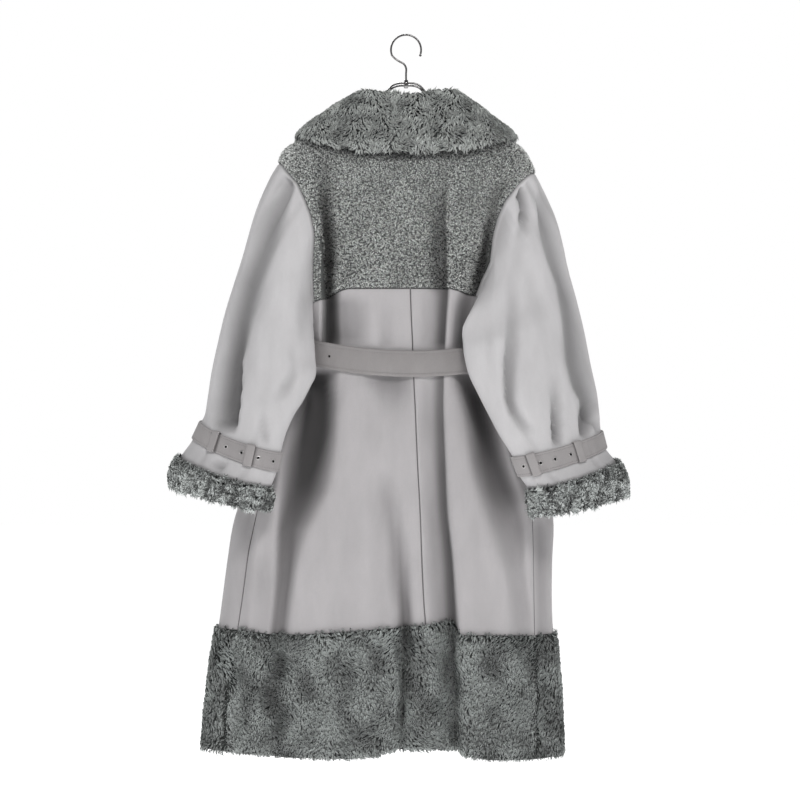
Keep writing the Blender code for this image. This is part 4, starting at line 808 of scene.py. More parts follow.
def cellAreas(grid):
    # half the cross product of each cell's diagonals
    a, b, c, d = grid[:-1, :-1], grid[:-1, 1:], grid[1:, 1:], grid[1:, :-1]
    return 0.5 * np.linalg.norm(np.cross(c - a, d - b), axis=-1)


def clothPiece(name, outer, inner, finish, slotName, nodes, held, restsOn, lie, closed=False):
    # a wall of cloth between two grids, kept for its sheet line with the sizes of its flat cut
    rows, columns = outer.shape[:2]
    points = np.concatenate([outer.reshape(-1, 3), inner.reshape(-1, 3)])
    made = meshObject(name, points, wallFaces(rows, columns, closed), finish, slotName)
    # the lie attribute holds painted shade, near the seams in red and in the folds in green
    paint(made, "lie", np.concatenate([lie.reshape(-1, 2)] * 2))
    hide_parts(*nodes)
    loop = np.concatenate([outer, outer[:, :1]], axis=1) if closed else outer
    width = float(np.linalg.norm(np.diff(loop, axis=1), axis=-1).sum(axis=1).max())
    length = float(np.linalg.norm(np.diff(loop, axis=0), axis=-1).sum(axis=0).max())
    area = float(cellAreas(loop).sum())
    sheets.append({"piece": made, "flat": (round(width, 3), round(length, 3)),
                   "area": round(min(area, width * length), 4), "held": held,
                   "restsOn": restsOn, "with": []})


def gridNormals(grid, like, closed=False):
    # true outward directions of a grid, the cross product of its steps down and round, on the
    # side that like points to
    if closed:
        around = np.roll(grid, -1, axis=1) - np.roll(grid, 1, axis=1)
    else:
        around = np.gradient(grid, axis=1)
    out = unit(np.cross(np.gradient(grid, axis=0), around))
    return out * np.where((out * like).sum(-1, keepdims=True) < 0, -1, 1)


def waves(points, size, seed):
    # smooth noise, mostly from -1 to 1: sines along random directions, added up and scaled down
    ways, spread, fullTurn, scaled = 8, (0.6, 1.7), 6.28, 3.2
    rng = np.random.default_rng(seed)
    total = 0
    for _ in range(ways):
        way = unit(rng.normal(size=3)) * rng.uniform(*spread) / size * 2 * np.pi
        total = total + np.sin(points @ way + rng.uniform(0, fullTurn))
    return total / scaled


# the rings of a tuft: height, run, width, side step, and light from root 0 to tip 1
tuftStations = [(-0.15, -0.05, 0.0, 0.0, 0.0), (0.85, 0.38, 1.0, 0.3, 0.9), (0.70, 1.0, 0.0, 1.0, 1.0)]
grainStations = [(-0.2, -0.5, 0.0, 0.5, 0.0), (1.0, 0.0, 1.0, 0.0, 1.0), (-0.2, 0.5, 0.0, 0.5, 0.3)]
# what the furs share; the dictionary of each fur adds its own, and lengths are in metres
tuftBase = {
    "stations": tuftStations,
    "vary": 0.30,                # how much lengths vary
    "riseVary": (0.8, 1.15),
    "widthVary": (0.7, 1.3),
    "riseLimits": (0.3, 1.25),   # a tuft's size counts for its rise and its width between these
    "widthLimits": (0.3, 2),
    "ridge": 0.7,                # height of a leaf's middle over its flanks, by half its width
    "seamMargin": 0.0006,        # nearer to an edge, tufts are edgeSize long
    "edgeSize": 0.4,
    "endClear": False,           # True: the lower edge counts as an edge too
    "standTop": 0,               # this close to the upper seam, tufts may turn up over it
    "standShare": 0.5,
    "standRun": -0.45,
    # painted light: the roots by the upper seam made lighter
    "topLight": 0,               # how light the roots are at the upper seam, and how far down
    "topReach": 0.006,
}


def tuftPattern(sizes):
    # the triangles of one tuft, whose rings have one or three points
    pattern = [[2, 1, 0]] if sizes[0] == 3 else []
    for n, start in enumerate(np.cumsum([0] + sizes[:-2])):
        after = start + sizes[n]
        for k in range(3):
            m = (k + 1) % 3
            if sizes[n] == 1:
                pattern += [[start, after + m, after + k][::-1]]
            elif sizes[n + 1] == 1:
                pattern += [[start + k, start + m, after]]
            else:
                pattern += [[start + k, start + m, after + m], [start + k, after + m, after + k]]
    return np.array(pattern)


def plantTufts(name, grid, outward, flow, fold, look, finish, slotName, nodes, closed=False, short=None):
    # tufts set on a grid: the cells are picked evenly by area, and each tuft is a bent three-sided
    # leaf, root + outward * rise(s) + flow * run(s), pointed at both ends, its flanks in painted shade
    rng = np.random.default_rng(look["seed"])
    count = look["count"]
    if closed:
        grid, outward, flow, fold = [np.concatenate([v, v[:, :1]], axis=1)
                                     for v in (grid, outward, flow, fold)]
    weight = cellAreas(grid).ravel().cumsum()
    spots = (np.arange(count) + rng.random(count)) / count * weight[-1]
    picked = np.minimum(np.searchsorted(weight, spots), len(weight) - 1)
    row, column = np.unravel_index(picked, (grid.shape[0] - 1, grid.shape[1] - 1))
    u, v = rng.random((2, count, 1))

    def spread(field):
        # a field at every root, straight between the corners of its cell
        return ((field[row, column] * (1 - v) + field[row, column + 1] * v) * (1 - u)
                + (field[row + 1, column] * (1 - v) + field[row + 1, column + 1] * v) * u)

    root, up, lie = spread(grid), unit(spread(outward)), spread(flow)
    lie = unit(lie - up * (lie * up).sum(-1, keepdims=True))
    swirl = (look["swirl"] * waves(root, look["swirlSize"], look["seed"] + 1)
             + look["stray"] * rng.normal(size=count))[:, None]
    side = np.cross(up, lie)
    lie, side = lie * np.cos(swirl) + side * np.sin(swirl), side * np.cos(swirl) - lie * np.sin(swirl)
    patch = 1 + look["patch"] * waves(root, look["patchSize"], look["seed"] + 2)
    size = rng.uniform(1 - look["vary"], 1 + look["vary"], count) * patch
    # how far each root is from the nearest edge, and down from the first row
    across = np.linalg.norm(np.diff(grid, axis=1), axis=-1).cumsum(axis=1)
    across = np.concatenate([0 * across[:, :1], across], axis=1)
    room = np.minimum(across, across[:, -1:] - across) + (1.0 if closed else 0.0)
    drop = np.linalg.norm(np.diff(grid, axis=0), axis=-1).cumsum(axis=0)
    drop = np.concatenate([0 * drop[:1], drop])
    if look["endClear"]:
        room = np.minimum(room, drop[-1] - drop)
    clear = spread(room[..., None])[:, 0] - look["seamMargin"]
    size = size * np.clip(look["edgeSize"] + clear / look["seamClear"], look["edgeSize"], 1)
    down = spread(drop[..., None])
    turnUp = (down < look["standTop"]) & (rng.random((count, 1)) < look["standShare"])
    lie = lie * np.where(turnUp, look["standRun"], 1.0)
    if short is not None:
        size = size * short(root)
    long = (look["length"] * size)[:, None]
    rise = (look["rise"] * np.clip(size, *look["riseLimits"])
            * rng.uniform(*look["riseVary"], count))[:, None]
    wide = (look["width"] * rng.uniform(*look["widthVary"], count)
            * np.sqrt(np.clip(size, *look["widthLimits"])))[:, None]
    curl = (look["curl"] * rng.normal(size=count))[:, None]
    rings = []
    for rises, runs, widths, sides, _ in look["stations"]:
        middle = root + up * (rise * rises) + lie * (long * runs) + side * (curl * long * sides)
        half = wide * widths / 2
        if widths > 0:
            rings.append(np.stack([middle + side * half, middle + up * half * look["ridge"],
                                   middle - side * half], 1))
        else:
            rings.append(middle[:, None])
    points = np.concatenate(rings, axis=1)
    each = points.shape[1]
    sizes = [ring.shape[1] for ring in rings]
    faces = (tuftPattern(sizes)[None] + (np.arange(count) * each)[:, None, None]).reshape(-1, 3)
    made = meshObject(name, points.reshape(-1, 3), [faces], finish, slotName)
    # red runs from root to tip, with painted shade on the flanks and painted light on the roots by the
    # upper seam; green is the tuft's own tone, which differs at random; blue the painted shade of the fold
    # that it grows in
    # painted shade: the two flank points of each ring darker than the lit ridge
    along = np.concatenate([np.array([look["flankShade"], 1, look["flankShade"]]) * station[4] if size == 3
                            else [station[4]] for station, size in zip(look["stations"], sizes)])
    shade = np.clip(0.5 + look["mottle"] * rng.normal(size=count) + look["cloud"] * (patch - 1), 0, 1)
    # painted light: roots near the upper seam lifted towards full light
    bright = look["topLight"] * np.clip(1 - down / look["topReach"], 0, 1)
    pile = np.ones((count, each, 3))
    pile[:, :, 0] = along[None] * (1 - bright) + bright
    pile[:, :, 1] = shade[:, None]
    pile[:, :, 2] = spread(fold[..., None])
    paint(made, "pile", pile.reshape(-1, 3))
    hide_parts(*nodes)
    return made


def fan(first, count, middle, turned=False):
    # triangles from a ring's points, count of them from first on, to one middle point
    c = first + np.arange(count)
    pair = [c, np.roll(c, -1)]
    return np.stack([*(pair[::-1] if turned else pair), 0 * c + middle], 1)


def closedEnds(grid, ends=None):
    # points and faces of a tube of rings whose ends are closed by fans round their middles
    rows, columns = grid.shape[:2]
    ends = [grid[0].mean(0), grid[-1].mean(0)] if ends is None else ends
    count = rows * columns
    caps = np.concatenate([fan(0, columns, count, True), fan(count - columns, columns, count + 1)])
    return np.concatenate([grid.reshape(-1, 3), ends]), [gridFaces(rows, columns, False, True), caps]


print("stage 2: materials")
numberSocket, colourSocket = "NodeSocketFloat", "NodeSocketColor"


def newGroup(name, inputs, outputs):
    # a node group with its own sockets; an input has a label, a kind and a first value
    group = bpy.data.node_groups.new(name, "ShaderNodeTree")
    for label, kind, value in inputs:
        socket = group.interface.new_socket(name=label, in_out="INPUT", socket_type=kind)
        socket.default_value = value
    for label, kind in outputs:
        group.interface.new_socket(name=label, in_out="OUTPUT", socket_type=kind)
    return group, group.nodes.new("NodeGroupInput"), group.nodes.new("NodeGroupOutput")


def feed(tree, socket, value):
    # a socket takes a link from another node's output, or a fixed value
    if isinstance(value, bpy.types.NodeSocket):
        tree.links.new(value, socket)
    else:
        socket.default_value = value


def node(tree, kind, settings=None, **values):
    # a node with its settings and what its sockets take; a label's blanks are written as _
    made = tree.nodes.new(kind)
    for key, value in (settings or {}).items():
        setattr(made, key, value)
    for key, value in values.items():
        feed(tree, made.inputs[key.replace("_", " ")], value)
    return made


def noiseNode(tree, coords, scale, detail=3.0, rough=0.55, stretch=None):
    # cloudy noise around 0.5; a stretch below 1 draws it out along that axis
    if stretch is not None:
        coords = node(tree, "ShaderNodeMapping", Scale=stretch, Vector=coords).outputs["Vector"]
    made = node(tree, "ShaderNodeTexNoise", Scale=scale, Detail=detail, Roughness=rough, Vector=coords)
    return made.outputs["Fac"]


def mathNode(tree, operation, *values):
    # one operation on numbers or outputs
    made = node(tree, "ShaderNodeMath", {"operation": operation})
    for socket, value in zip(made.inputs, values):
        feed(tree, socket, value)
    return made.outputs[0]


def rangeNode(tree, *values):
    # value, low, high, toLow, toHigh: value moved straight from one range to the other
    made = node(tree, "ShaderNodeMapRange")
    for socket, value in zip(made.inputs, values):
        feed(tree, socket, value)
    return made.outputs["Result"]


def mixColours(tree, factor, first, second):
    # first * (1 - factor) + second * factor
    made = node(tree, "ShaderNodeMix", {"data_type": "RGBA"})
    for place, value in ((0, factor), (6, first), (7, second)):
        feed(tree, made.inputs[place], (*value, 1.0) if isinstance(value, tuple) else value)
    return made.outputs[2]


def layerParts(tree, layerName):
    # red, green and blue of an attribute that the pieces carry
    colour = node(tree, "ShaderNodeAttribute", {"attribute_name": layerName}).outputs["Color"]
    return node(tree, "ShaderNodeSeparateColor", Color=colour).outputs


def dimmed(tree, lift, part, share):
    # lift * (1 - part * share)
    dim = mathNode(tree, "MULTIPLY", part, share)
    return mathNode(tree, "MULTIPLY", lift, mathNode(tree, "SUBTRACT", 1.0, dim))


def putOut(tree, put, colour, lift, roughness):
    # what a group gives: colour * lift, and the roughness
    scaled = node(tree, "ShaderNodeVectorMath", {"operation": "SCALE"}, Vector=colour, Scale=lift)
    tree.links.new(scaled.outputs[0], put.inputs["Color"])
    tree.links.new(roughness, put.inputs["Roughness"])


def napAndShadeGroup():
    # suede: tone * (1 + cloud + stroke + grain) * (1 - seam) * (1 - fold), for a cloudy tone, hand
    # strokes in the nap and fine grain, and their heights; seam and fold are painted shade in the seams'
    # grooves and in the folds, which the lie attribute holds
    group, given, put = newGroup("suedeNapAndShade", [
        ("Vector", "NodeSocketVector", (0, 0, 0)), ("Tone", colourSocket, (0.5, 0.5, 0.5, 1)),
        ("Cloud", numberSocket, 0.10), ("Stroke", numberSocket, 0.10), ("Grain", numberSocket, 0.08),
        ("Seam", numberSocket, 0.8), ("Fold", numberSocket, 0.4)], [
        ("Color", colourSocket), ("Roughness", numberSocket), ("Height", numberSocket)])
    at = given.outputs["Vector"]
    cloud = rangeNode(group, noiseNode(group, at, 7.0, 4.0), 0.32, 0.68, -1.0, 1.0)
    stroke = rangeNode(group, noiseNode(group, at, 34.0, 4.0, 0.6, (1.0, 1.0, 0.34)), 0.3, 0.7, -1.0, 1.0)
    grain = noiseNode(group, at, 900.0, 2.0, 0.7)
    fine = rangeNode(group, grain, 0.3, 0.7, -1.0, 1.0)
    sway = mathNode(group, "MULTIPLY", cloud, given.outputs["Cloud"])
    sway = mathNode(group, "MULTIPLY_ADD", stroke, given.outputs["Stroke"], sway)
    sway = mathNode(group, "MULTIPLY_ADD", fine, given.outputs["Grain"], sway)
    lift = mathNode(group, "ADD", sway, 1.0)
    parts = layerParts(group, "lie")
    lift = dimmed(group, lift, parts[0], given.outputs["Seam"])
    lift = dimmed(group, lift, parts[1], given.outputs["Fold"])
    putOut(group, put, given.outputs["Tone"], lift, rangeNode(group, stroke, -1.0, 1.0, 0.82, 0.96))
    height = mathNode(group, "MULTIPLY_ADD", stroke, 0.35, grain)
    group.links.new(height, put.inputs["Height"])
    return group


def pileAndShadeGroup():
    # fur and fleece: root colour to tip colour along each tuft, times its own tone, (1 + vary *
    # (shade - 0.5)) * (1 - fold), where fold is the painted shade of the fold that it grows in
    group, given, put = newGroup("pileToneAndShade", [
        ("Root", colourSocket, (0.05, 0.05, 0.05, 1)), ("Tip", colourSocket, (0.3, 0.3, 0.3, 1)),
        ("Start", numberSocket, 0.1), ("End", numberSocket, 0.9),
        ("Vary", numberSocket, 0.3), ("Fold", numberSocket, 0.4)], [
        ("Color", colourSocket), ("Roughness", numberSocket)])
    parts = layerParts(group, "pile")
    along = rangeNode(group, parts[0], given.outputs["Start"], given.outputs["End"], 0.0, 1.0)
    colour = mixColours(group, along, given.outputs["Root"], given.outputs["Tip"])
    sway = mathNode(group, "SUBTRACT", parts[1], 0.5)
    sway = mathNode(group, "MULTIPLY_ADD", sway, given.outputs["Vary"], 1.0)
    lift = dimmed(group, sway, parts[2], given.outputs["Fold"])
    putOut(group, put, colour, lift, rangeNode(group, parts[1], 0.0, 1.0, 0.78, 0.95))
    return group


# the suede's nap, with painted shade by the seams and in the folds, and the pile's tone, with painted
# shade in the folds
nap = napAndShadeGroup()
pileToneAndShade = pileAndShadeGroup()


# strength and distance in metres of each bump, and how bright and rough the cloths and metal are
surfaces = {"napBump": (0.25, 0.0004), "scratchBump": (0.08, 0.0001), "sheenRough": 0.45,
            "clothRough": 0.9, "suedeSpecular": 0.18, "pileSpecular": 0.2}
# the metal's clouds: noise scale and detail, range that wears bright, and how much brighter; its
# scratches: noise scale, range, stretch, and how much smoother and rougher they make it
metalWear = {"scale": 60.0, "detail": 4.0, "range": (0.42, 0.7), "brighter": 1.7,
             "scratchScale": 700.0, "scratchRange": (0.3, 0.7), "stretch": (1.0, 1.0, 0.06),
             "smoother": 0.06, "rougher": 0.10}


def startMaterial(name, roughness, sheen=0.0, metallic=0.0):
    # a Principled shader with its constant values
    made = bpy.data.materials.new(name)
    made.use_nodes = True
    tree = made.node_tree
    shader = tree.nodes["Principled BSDF"]
    for label, value in (("Roughness", roughness), ("Metallic", metallic), ("Sheen Weight", sheen),
                         ("Sheen Roughness", surfaces["sheenRough"])):
        shader.inputs[label].default_value = value
    return made, tree, shader


def bumpInto(tree, shader, height, strength, distance):
    # the shader's normal, bent by a height
    bump = node(tree, "ShaderNodeBump", Strength=strength, Distance=distance, Height=height)
    tree.links.new(bump.outputs["Normal"], shader.inputs["Normal"])


def groupMaterial(name, group, sheen, specular, **values):
    # a shader whose colour and roughness come from a group
    made, tree, shader = startMaterial(name, surfaces["clothRough"], sheen)
    shader.inputs["Specular IOR Level"].default_value = specular
    effect = node(tree, "ShaderNodeGroup", {"node_tree": group}, **values)
    tree.links.new(effect.outputs["Color"], shader.inputs["Base Color"])
    tree.links.new(effect.outputs["Roughness"], shader.inputs["Roughness"])
    return made, tree, shader, effect


def suedeMaterial(name, tone, cloud, stroke, grain, sheen, fold=0.45):
    # the nap group on Object coordinates, with its heights as a bump; fold is how strong its painted
    # shade in the folds is
    made, tree, shader, effect = groupMaterial(name, nap, sheen, surfaces["suedeSpecular"],
                                               Tone=(*tone, 1), Cloud=cloud, Stroke=stroke,
                                               Grain=grain, Seam=0.60, Fold=fold)
    tree.links.new(node(tree, "ShaderNodeTexCoord").outputs["Object"], effect.inputs["Vector"])
    bumpInto(tree, shader, effect.outputs["Height"], *surfaces["napBump"])
    return made


def pileMaterial(name, root, tip, start, end, vary, sheen, fold=0.45):
    # the pile group: root colour up to start of the tuft's length, tip colour from end on; fold is how
    # strong its painted shade in the folds is
    return groupMaterial(name, pileToneAndShade, sheen, surfaces["pileSpecular"], Root=(*root, 1),
                         Tip=(*tip, 1), Start=start, End=end, Vary=vary, Fold=fold)[0]


def metalMaterial(name, tone, rough):
    # dark chrome with faint cloudy wear and drawn scratches
    made, tree, shader = startMaterial(name, rough, 0.0, 1.0)
    coords = node(tree, "ShaderNodeTexCoord").outputs["Object"]
    clouds = noiseNode(tree, coords, metalWear["scale"], metalWear["detail"])
    worn = rangeNode(tree, clouds, *metalWear["range"], 0.0, 1.0)
    drawn = noiseNode(tree, coords, metalWear["scratchScale"], 2.0, 0.5, metalWear["stretch"])
    bright = tuple(min(1.0, v * metalWear["brighter"]) for v in tone)
    tree.links.new(mixColours(tree, worn, tone, bright), shader.inputs["Base Color"])
    polish = rangeNode(tree, drawn, *metalWear["scratchRange"], rough - metalWear["smoother"],
                       rough + metalWear["rougher"])
    tree.links.new(polish, shader.inputs["Roughness"])
    bumpInto(tree, shader, drawn, *surfaces["scratchBump"])
    return made


tones = {
    "suede": (0.440, 0.425, 0.434),
    # painted light: the sleeves' suede is the body's suede painted lighter
    "sleeve": (0.540, 0.532, 0.542),
    "belt": (0.275, 0.262, 0.262),
    "strap": (0.335, 0.320, 0.322),
    "edge": (0.26, 0.245, 0.245),
    "thread": (0.24, 0.232, 0.232),
    "furRoot": (0.022, 0.025, 0.024),
    "furTip": (0.345, 0.370, 0.360),
    "collarTip": (0.54, 0.565, 0.545),
    "fleeceRoot": (0.110, 0.120, 0.115),
    "fleeceTip": (0.95, 0.97, 0.95),
    "cuffRoot": (0.022, 0.025, 0.024),
    "cuffTip": (0.50, 0.525, 0.515),
    "backing": (0.050, 0.055, 0.053),
    "fleeceBacking": (0.180, 0.190, 0.185),
    "metal": (0.115, 0.112, 0.112),
}
# a last number after the sheen is how strong a cloth's painted shade in the folds is
suede = suedeMaterial("bodySuede", tones["suede"], 0.035, 0.045, 0.04, 0.25, 0.85)
# the body's suede painted lighter for the sleeves, as painted light
litSleeveSuede = suedeMaterial("litSleeveSuede", tones["sleeve"], 0.035, 0.045, 0.04, 0.25, 0.72)
beltSuede = suedeMaterial("beltSuede", tones["belt"], 0.05, 0.07, 0.06, 0.2)
strapSuede = suedeMaterial("strapSuede", tones["strap"], 0.05, 0.07, 0.06, 0.2)
threadFinish = suedeMaterial("sewingThread", tones["thread"], 0.05, 0.05, 0.10, 0.1)
# painted shade: a near-black disc stands in for the shaded inside of each punched hole
holeShadeFinish = suedeMaterial("punchedHoleShade", (0.012, 0.012, 0.012), 0.2, 0.2, 0.2, 0.0)
backingFinish = suedeMaterial("pileBacking", tones["backing"], 0.25, 0.2, 0.35, 0.1)
fleeceBacking = suedeMaterial("fleeceBacking", tones["fleeceBacking"], 0.25, 0.2, 0.35, 0.1, 0.9)
hemPile = pileMaterial("plushPile", tones["furRoot"], tones["furTip"], 0.0, 0.85, 0.8, 0.15, 0.6)
collarPile = pileMaterial("collarPile", tones["furRoot"], tones["collarTip"], 0.0, 0.85, 0.65, 0.15)
fleecePile = pileMaterial("curlyFleece", tones["fleeceRoot"], tones["fleeceTip"], 0.0, 0.9, 0.9, 0.1, 0.9)
cuffPile = pileMaterial("woolCuff", tones["cuffRoot"], tones["cuffTip"], 0.0, 0.9, 1.3, 0.1)
metalFinish = metalMaterial("darkChrome", tones["metal"], 0.20)
eyeletFinish = metalMaterial("eyeletMetal", (0.42, 0.41, 0.41), 0.34)


print("stage 3: suede body panels")


def level(z):
    # a seam at one height
    return lambda x, angle: z + 0 * x


def below(seam, distance):
    # seam - distance
    return lambda x, angle: seam(x, angle) - distance


def seamOf(table):
    # the seam that a table gives
    return lambda x, angle: seamHeight(table, x)


def frontEdge(side):
    # the V neckline, then the wrap past the centre: reach of the edge from it, by height
    heights = [-0.350, -0.310, -0.255, -0.205, -0.165, -0.140]
    reach = [-body["frontOverlap"], -0.042, 0.0, 0.040, 0.068, 0.085]

    def edge(z):
        return angleAt(side * np.interp(z, heights, reach), z, "front")
    return edge


underStep = {"suede": 0.0025, "fleece": 0.006, "fur": 0.012}    # how thick the left front lies


def underInset(side, depth):
    # the right front passes under the left one, so it steps in near the centre
    if side > 0:
        return None
    full = body["frontOverlap"] + body["overlapMargin"]
    return lambda x: depth * np.clip((x + full + body["overlapBlend"]) / body["overlapBlend"], 0, 1)


def namedLine(name):
    # one of the back's long lines as a function of height
    return lambda z: seamAngle(name, z)


half = body["seamGap"] / 2
valleyLeft, centreSeam, foot, crest, valleyRight = [
    namedLine(name) for name in ("valleyLeft", "centre", "foot", "crest", "valleyRight")]
hemSeam = seamOf(hemTop)


def besideSeam(edge, side, face):
    # a panel's edge, half a seam gap beside the side seam or the armhole
    return shifted(lambda z: edge(side, face, z), side * half * (-1 if face == "back" else 1))


def frontLines(side):
    # a front's long lines: beside the side seam, below the armhole's corner, and its free edge
    free = frontEdge(side)
    return [besideSeam(sideSeam, side, "front"), cornerLine(side, "front", free), free]


backLines = [besideSeam(sideSeam, 1, "back"), cornerLine(1, "back", valleyLeft), valleyLeft, centreSeam,
             foot, crest, valleyRight, besideSeam(sideSeam, -1, "back")]


def sewnPanel(name, grid, roll, wall, finish, slotName, nodes, restsOn):
    # a panel with rolled edges: inner face = outer face - outward * wall
    rolled, plain, outward, lie = rolledEdges(*grid, roll)
    clothPiece(name, rolled, plain - outward * wall, finish, slotName, nodes, "hung", restsOn, lie)
    return rolled, plain, outward, lie


def suedePanel(name, lines, counts, top, bottom, nodes, inset=None):
    # a panel of the body on the coat's own surface
    grid = panelGrid(lines, counts, top, panelLevels, bottom, 0, 2, inset)
    sewnPanel(name, grid, body["seamRoll"], body["suedeWall"], suede, "suede", nodes, ["yoke_back_cloth"])


suedePanel("back_left_cloth", backLines[:3] + [shifted(centreSeam, half)], backColumns[:3],
           below(underarm(1, "back", seamOf(yokeBottom)), half), below(hemSeam, -half),
           ["back_panel_left"])
suedePanel("back_right_cloth", [shifted(centreSeam, -half)] + backLines[4:], backColumns[3:],
           below(underarm(-1, "back", seamOf(yokeBottom)), half), below(hemSeam, -half),
           ["back_panel_right"])
for side, label in bothSides:
    suedePanel("front_%s_cloth" % label, frontLines(side), frontColumns,
               below(underarm(side, "front", level(body["frontYoke"])), half),
               below(seamOf(frontHemTop), -half), ["front_panel_" + label],
               underInset(side, underStep["suede"] + body["layerGap"]))


print("stage 4: curly fleece yoke")
yokeCurls = {**tuftBase, "length": 0.0062, "rise": 0.0027, "width": 0.0025, "swirl": 2.2,
             "swirlSize": 0.016, "stray": 0.7, "patch": 0.10, "patchSize": 0.05, "vary": 0.25,
             "curl": 0.35, "cloud": 0.6, "seamClear": 0.004, "edgeSize": 0.1, "endClear": True,
             "mottle": 0.28, "flankShade": 0.38, "stations": grainStations}


def pileRun(name, outer, outward, fold, look, finish, slotName, nodes, closed=False, short=None):
    # tufts that lie down the cloth, on its true outward directions
    outward = gridNormals(outer, outward, closed)
    flow = np.gradient(outer, axis=0)
    made = plantTufts(name, outer, outward, flow, fold, look, finish, slotName, nodes, closed, short)
    sheets[-1]["with"].append(made)


def grown(look, count, seed, bigger):
    # a fur's dictionary for one piece, its tufts longer and wider by a factor
    return {**look, "count": count, "seed": seed, "length": look["length"] * bigger,
            "width": look["width"] * bigger}


def yokePiece(name, lines, counts, bottom, node, count, seed, inset=None, bigger=1.0):
    # fleece backing with its curls
    grid = panelGrid(lines, counts, level(body["neck"]), yokeLevels, bottom, body["fleeceBack"], 0, inset)
    rolled, _, outward, lie = sewnPanel(name + "_cloth", grid, body["fleeceRoll"], body["fleeceWall"],
                                        fleeceBacking, "fleece", [node], ["hanger_wire"])
    pileRun(name + "_curls", rolled, outward, lie[..., 1], grown(yokeCurls, count, seed, bigger),
            fleecePile, "fleece", [node])


yokePiece("yoke_back", [besideSeam(yokeEdge, 1, "back"), valleyLeft, centreSeam, foot, crest,
                        besideSeam(yokeEdge, -1, "back")], yokeColumns,
          below(seamOf(yokeBottom), -half), "yoke_back", 29000, 11)
for side, label in bothSides:
    yokePiece("yoke_front_" + label, [besideSeam(yokeEdge, side, "front"), frontEdge(side)],
              frontColumns[1:], level(body["frontYoke"] + half), "yoke_front_" + label, 6500, 13 + side,
              underInset(side, underStep["fleece"] + body["layerGap"]), 1.4)


print("stage 5: fur hem")
hemTufts = {**tuftBase, "length": 0.0105, "rise": 0.0060, "width": 0.0027, "swirl": 0.90,
            "swirlSize": 0.075, "stray": 0.12, "patch": 0.22, "patchSize": 0.080, "curl": 0.14,
            "cloud": 2.3, "seamClear": 0.008, "standTop": 0.007, "topLight": 0.9, "topReach": 0.010,
            "mottle": 0.22, "flankShade": 0.32}


def hemPiece(name, lines, counts, top, bottom, node, count, seed, inset=None, bigger=1.0):
    # fur backing with its long pile
    grid = panelGrid(lines, counts, top, hemLevels, bottom, body["furBack"], 0, inset)
    rolled, plain, outward, lie = sewnPanel(name + "_cloth", grid, body["furRoll"], body["furWall"],
                                            backingFinish, "fur", [node],
                                            ["back_left_cloth", "back_right_cloth"])
    bottomEdge = plain[-1, :, 2].mean()

    def short(root):
        # shorter just over the lower edge, so that the band keeps its depth
        least, over = 0.45, 0.030
        return np.clip(least + (root[:, 2] - bottomEdge) / over, least, 1)
    pileRun(name + "_pile", rolled, outward, lie[..., 1], grown(hemTufts, count, seed, bigger), hemPile,
            "fur", [node], short=short)


hemPiece("hem_back", backLines, backColumns, below(hemSeam, half), seamOf(hemBottom), "hem_fur_back",
         28500, 21)
for side, label in bothSides:
    hemPiece("hem_front_" + label, frontLines(side), frontColumns,
             below(seamOf(frontHemTop), half), seamOf(frontHemBottom), "hem_fur_front_" + label,
             11000, 23 + side, underInset(side, underStep["fur"] + body["layerGap"]), 1.25)


print("stage 6: sleeves and cuffs")


def armholeRing(side):
    # points round the armhole with turns: 0 shoulder, 0.5 the yoke's corner on the back, then round
    # the underarm and up the front; both halves are stepped evenly by length
    fineRows = finer(yokeLevels, body["finer"])
    halves = {}
    for face, columns in (("back", backColumns[0] if side > 0 else backColumns[-1]),
                          ("front", frontColumns[0])):
        corner = cornerHeight(side, face)
        rows = [z for z in fineRows if corner < z < armholeTop[side] - 1e-6]
        edge = [(z, float(armholeAngle(side, face, z))) for z in rows + [corner]]
        start, end = edge[-1][1], float(sideSeam(side, face, armholeBottom))
        shares = np.arange(1, columns * body["finer"]) / (columns * body["finer"])
        under = [(corner + (armholeBottom - corner) * math.sin(n * math.pi / 2),
                  start + (end - start) * n) for n in shares]
        halves[face] = (edge, under)
    top = (armholeTop[side], float(armholeAngle(side, "back", armholeTop[side])))
    bottom = (armholeBottom, float(sideSeam(side, "back", armholeBottom)))
    back, front = halves["back"], halves["front"]
    # the front's angles run on past the side seam, so both faces share one turn round the body
    points, outs = [], []
    onBack = [top] + back[0]
    onFront = [back[0][-1]] + back[1] + [bottom] + front[1][::-1] + front[0][::-1] + [top]
    for run in (onBack, onFront):
        z, angle = np.array(run).T
        place, way = coatBody(angle, z), plainNormal(angle, z)
        length = lengthAlong(place)
        at = evenTurns(sleeve["halfSteps"]) * length[-1]
        points.append(pointsAt(at, length, place))
        outs.append(pointsAt(at, length, way))
    return np.concatenate(points), unit(np.concatenate(outs)), evenTurns(2 * sleeve["halfSteps"])


def sleeveRow(side, number, turns):
    # a superellipse between the outer and the inner end of one section, flatter underneath
    rows = np.asarray(sleeveTable[side], float) * mm
    values = [smoothCurve(np.arange(1, len(rows) + 1), rows[:, n], number) for n in range(7)]
    outer, inner = np.array(values[:3]), np.array(values[3:6])
    middle, reach = (outer + inner) / 2, (outer - inner) / 2
    acrossWay = unit(np.array([reach[1] * -side, reach[0] * side, 0.0]))
    phase = 2 * np.pi * turns
    along, out = [squared(v, 2 / sleeve["power"]) for v in (np.cos(phase), np.sin(phase))]
    flat = sleeve["undersideFlat"]
    out = np.where(out < 0, out * (flat + (1 - flat) * np.cos(phase)), out)
    ring = middle + along[:, None] * reach + out[:, None] * values[6] * acrossWay * np.sign(acrossWay[1])
    # nothing stands out past the outer end
    away = (ring[:, 0] - middle[0]) * side
    excess = max(away.max() - reach[0] * side, 0.0)
    ring[:, 0] -= side * excess * np.clip(away / away.max(), 0, 1) ** 2
    return ring


def evenTurns(count):
    # n / count
    return np.arange(count) / count


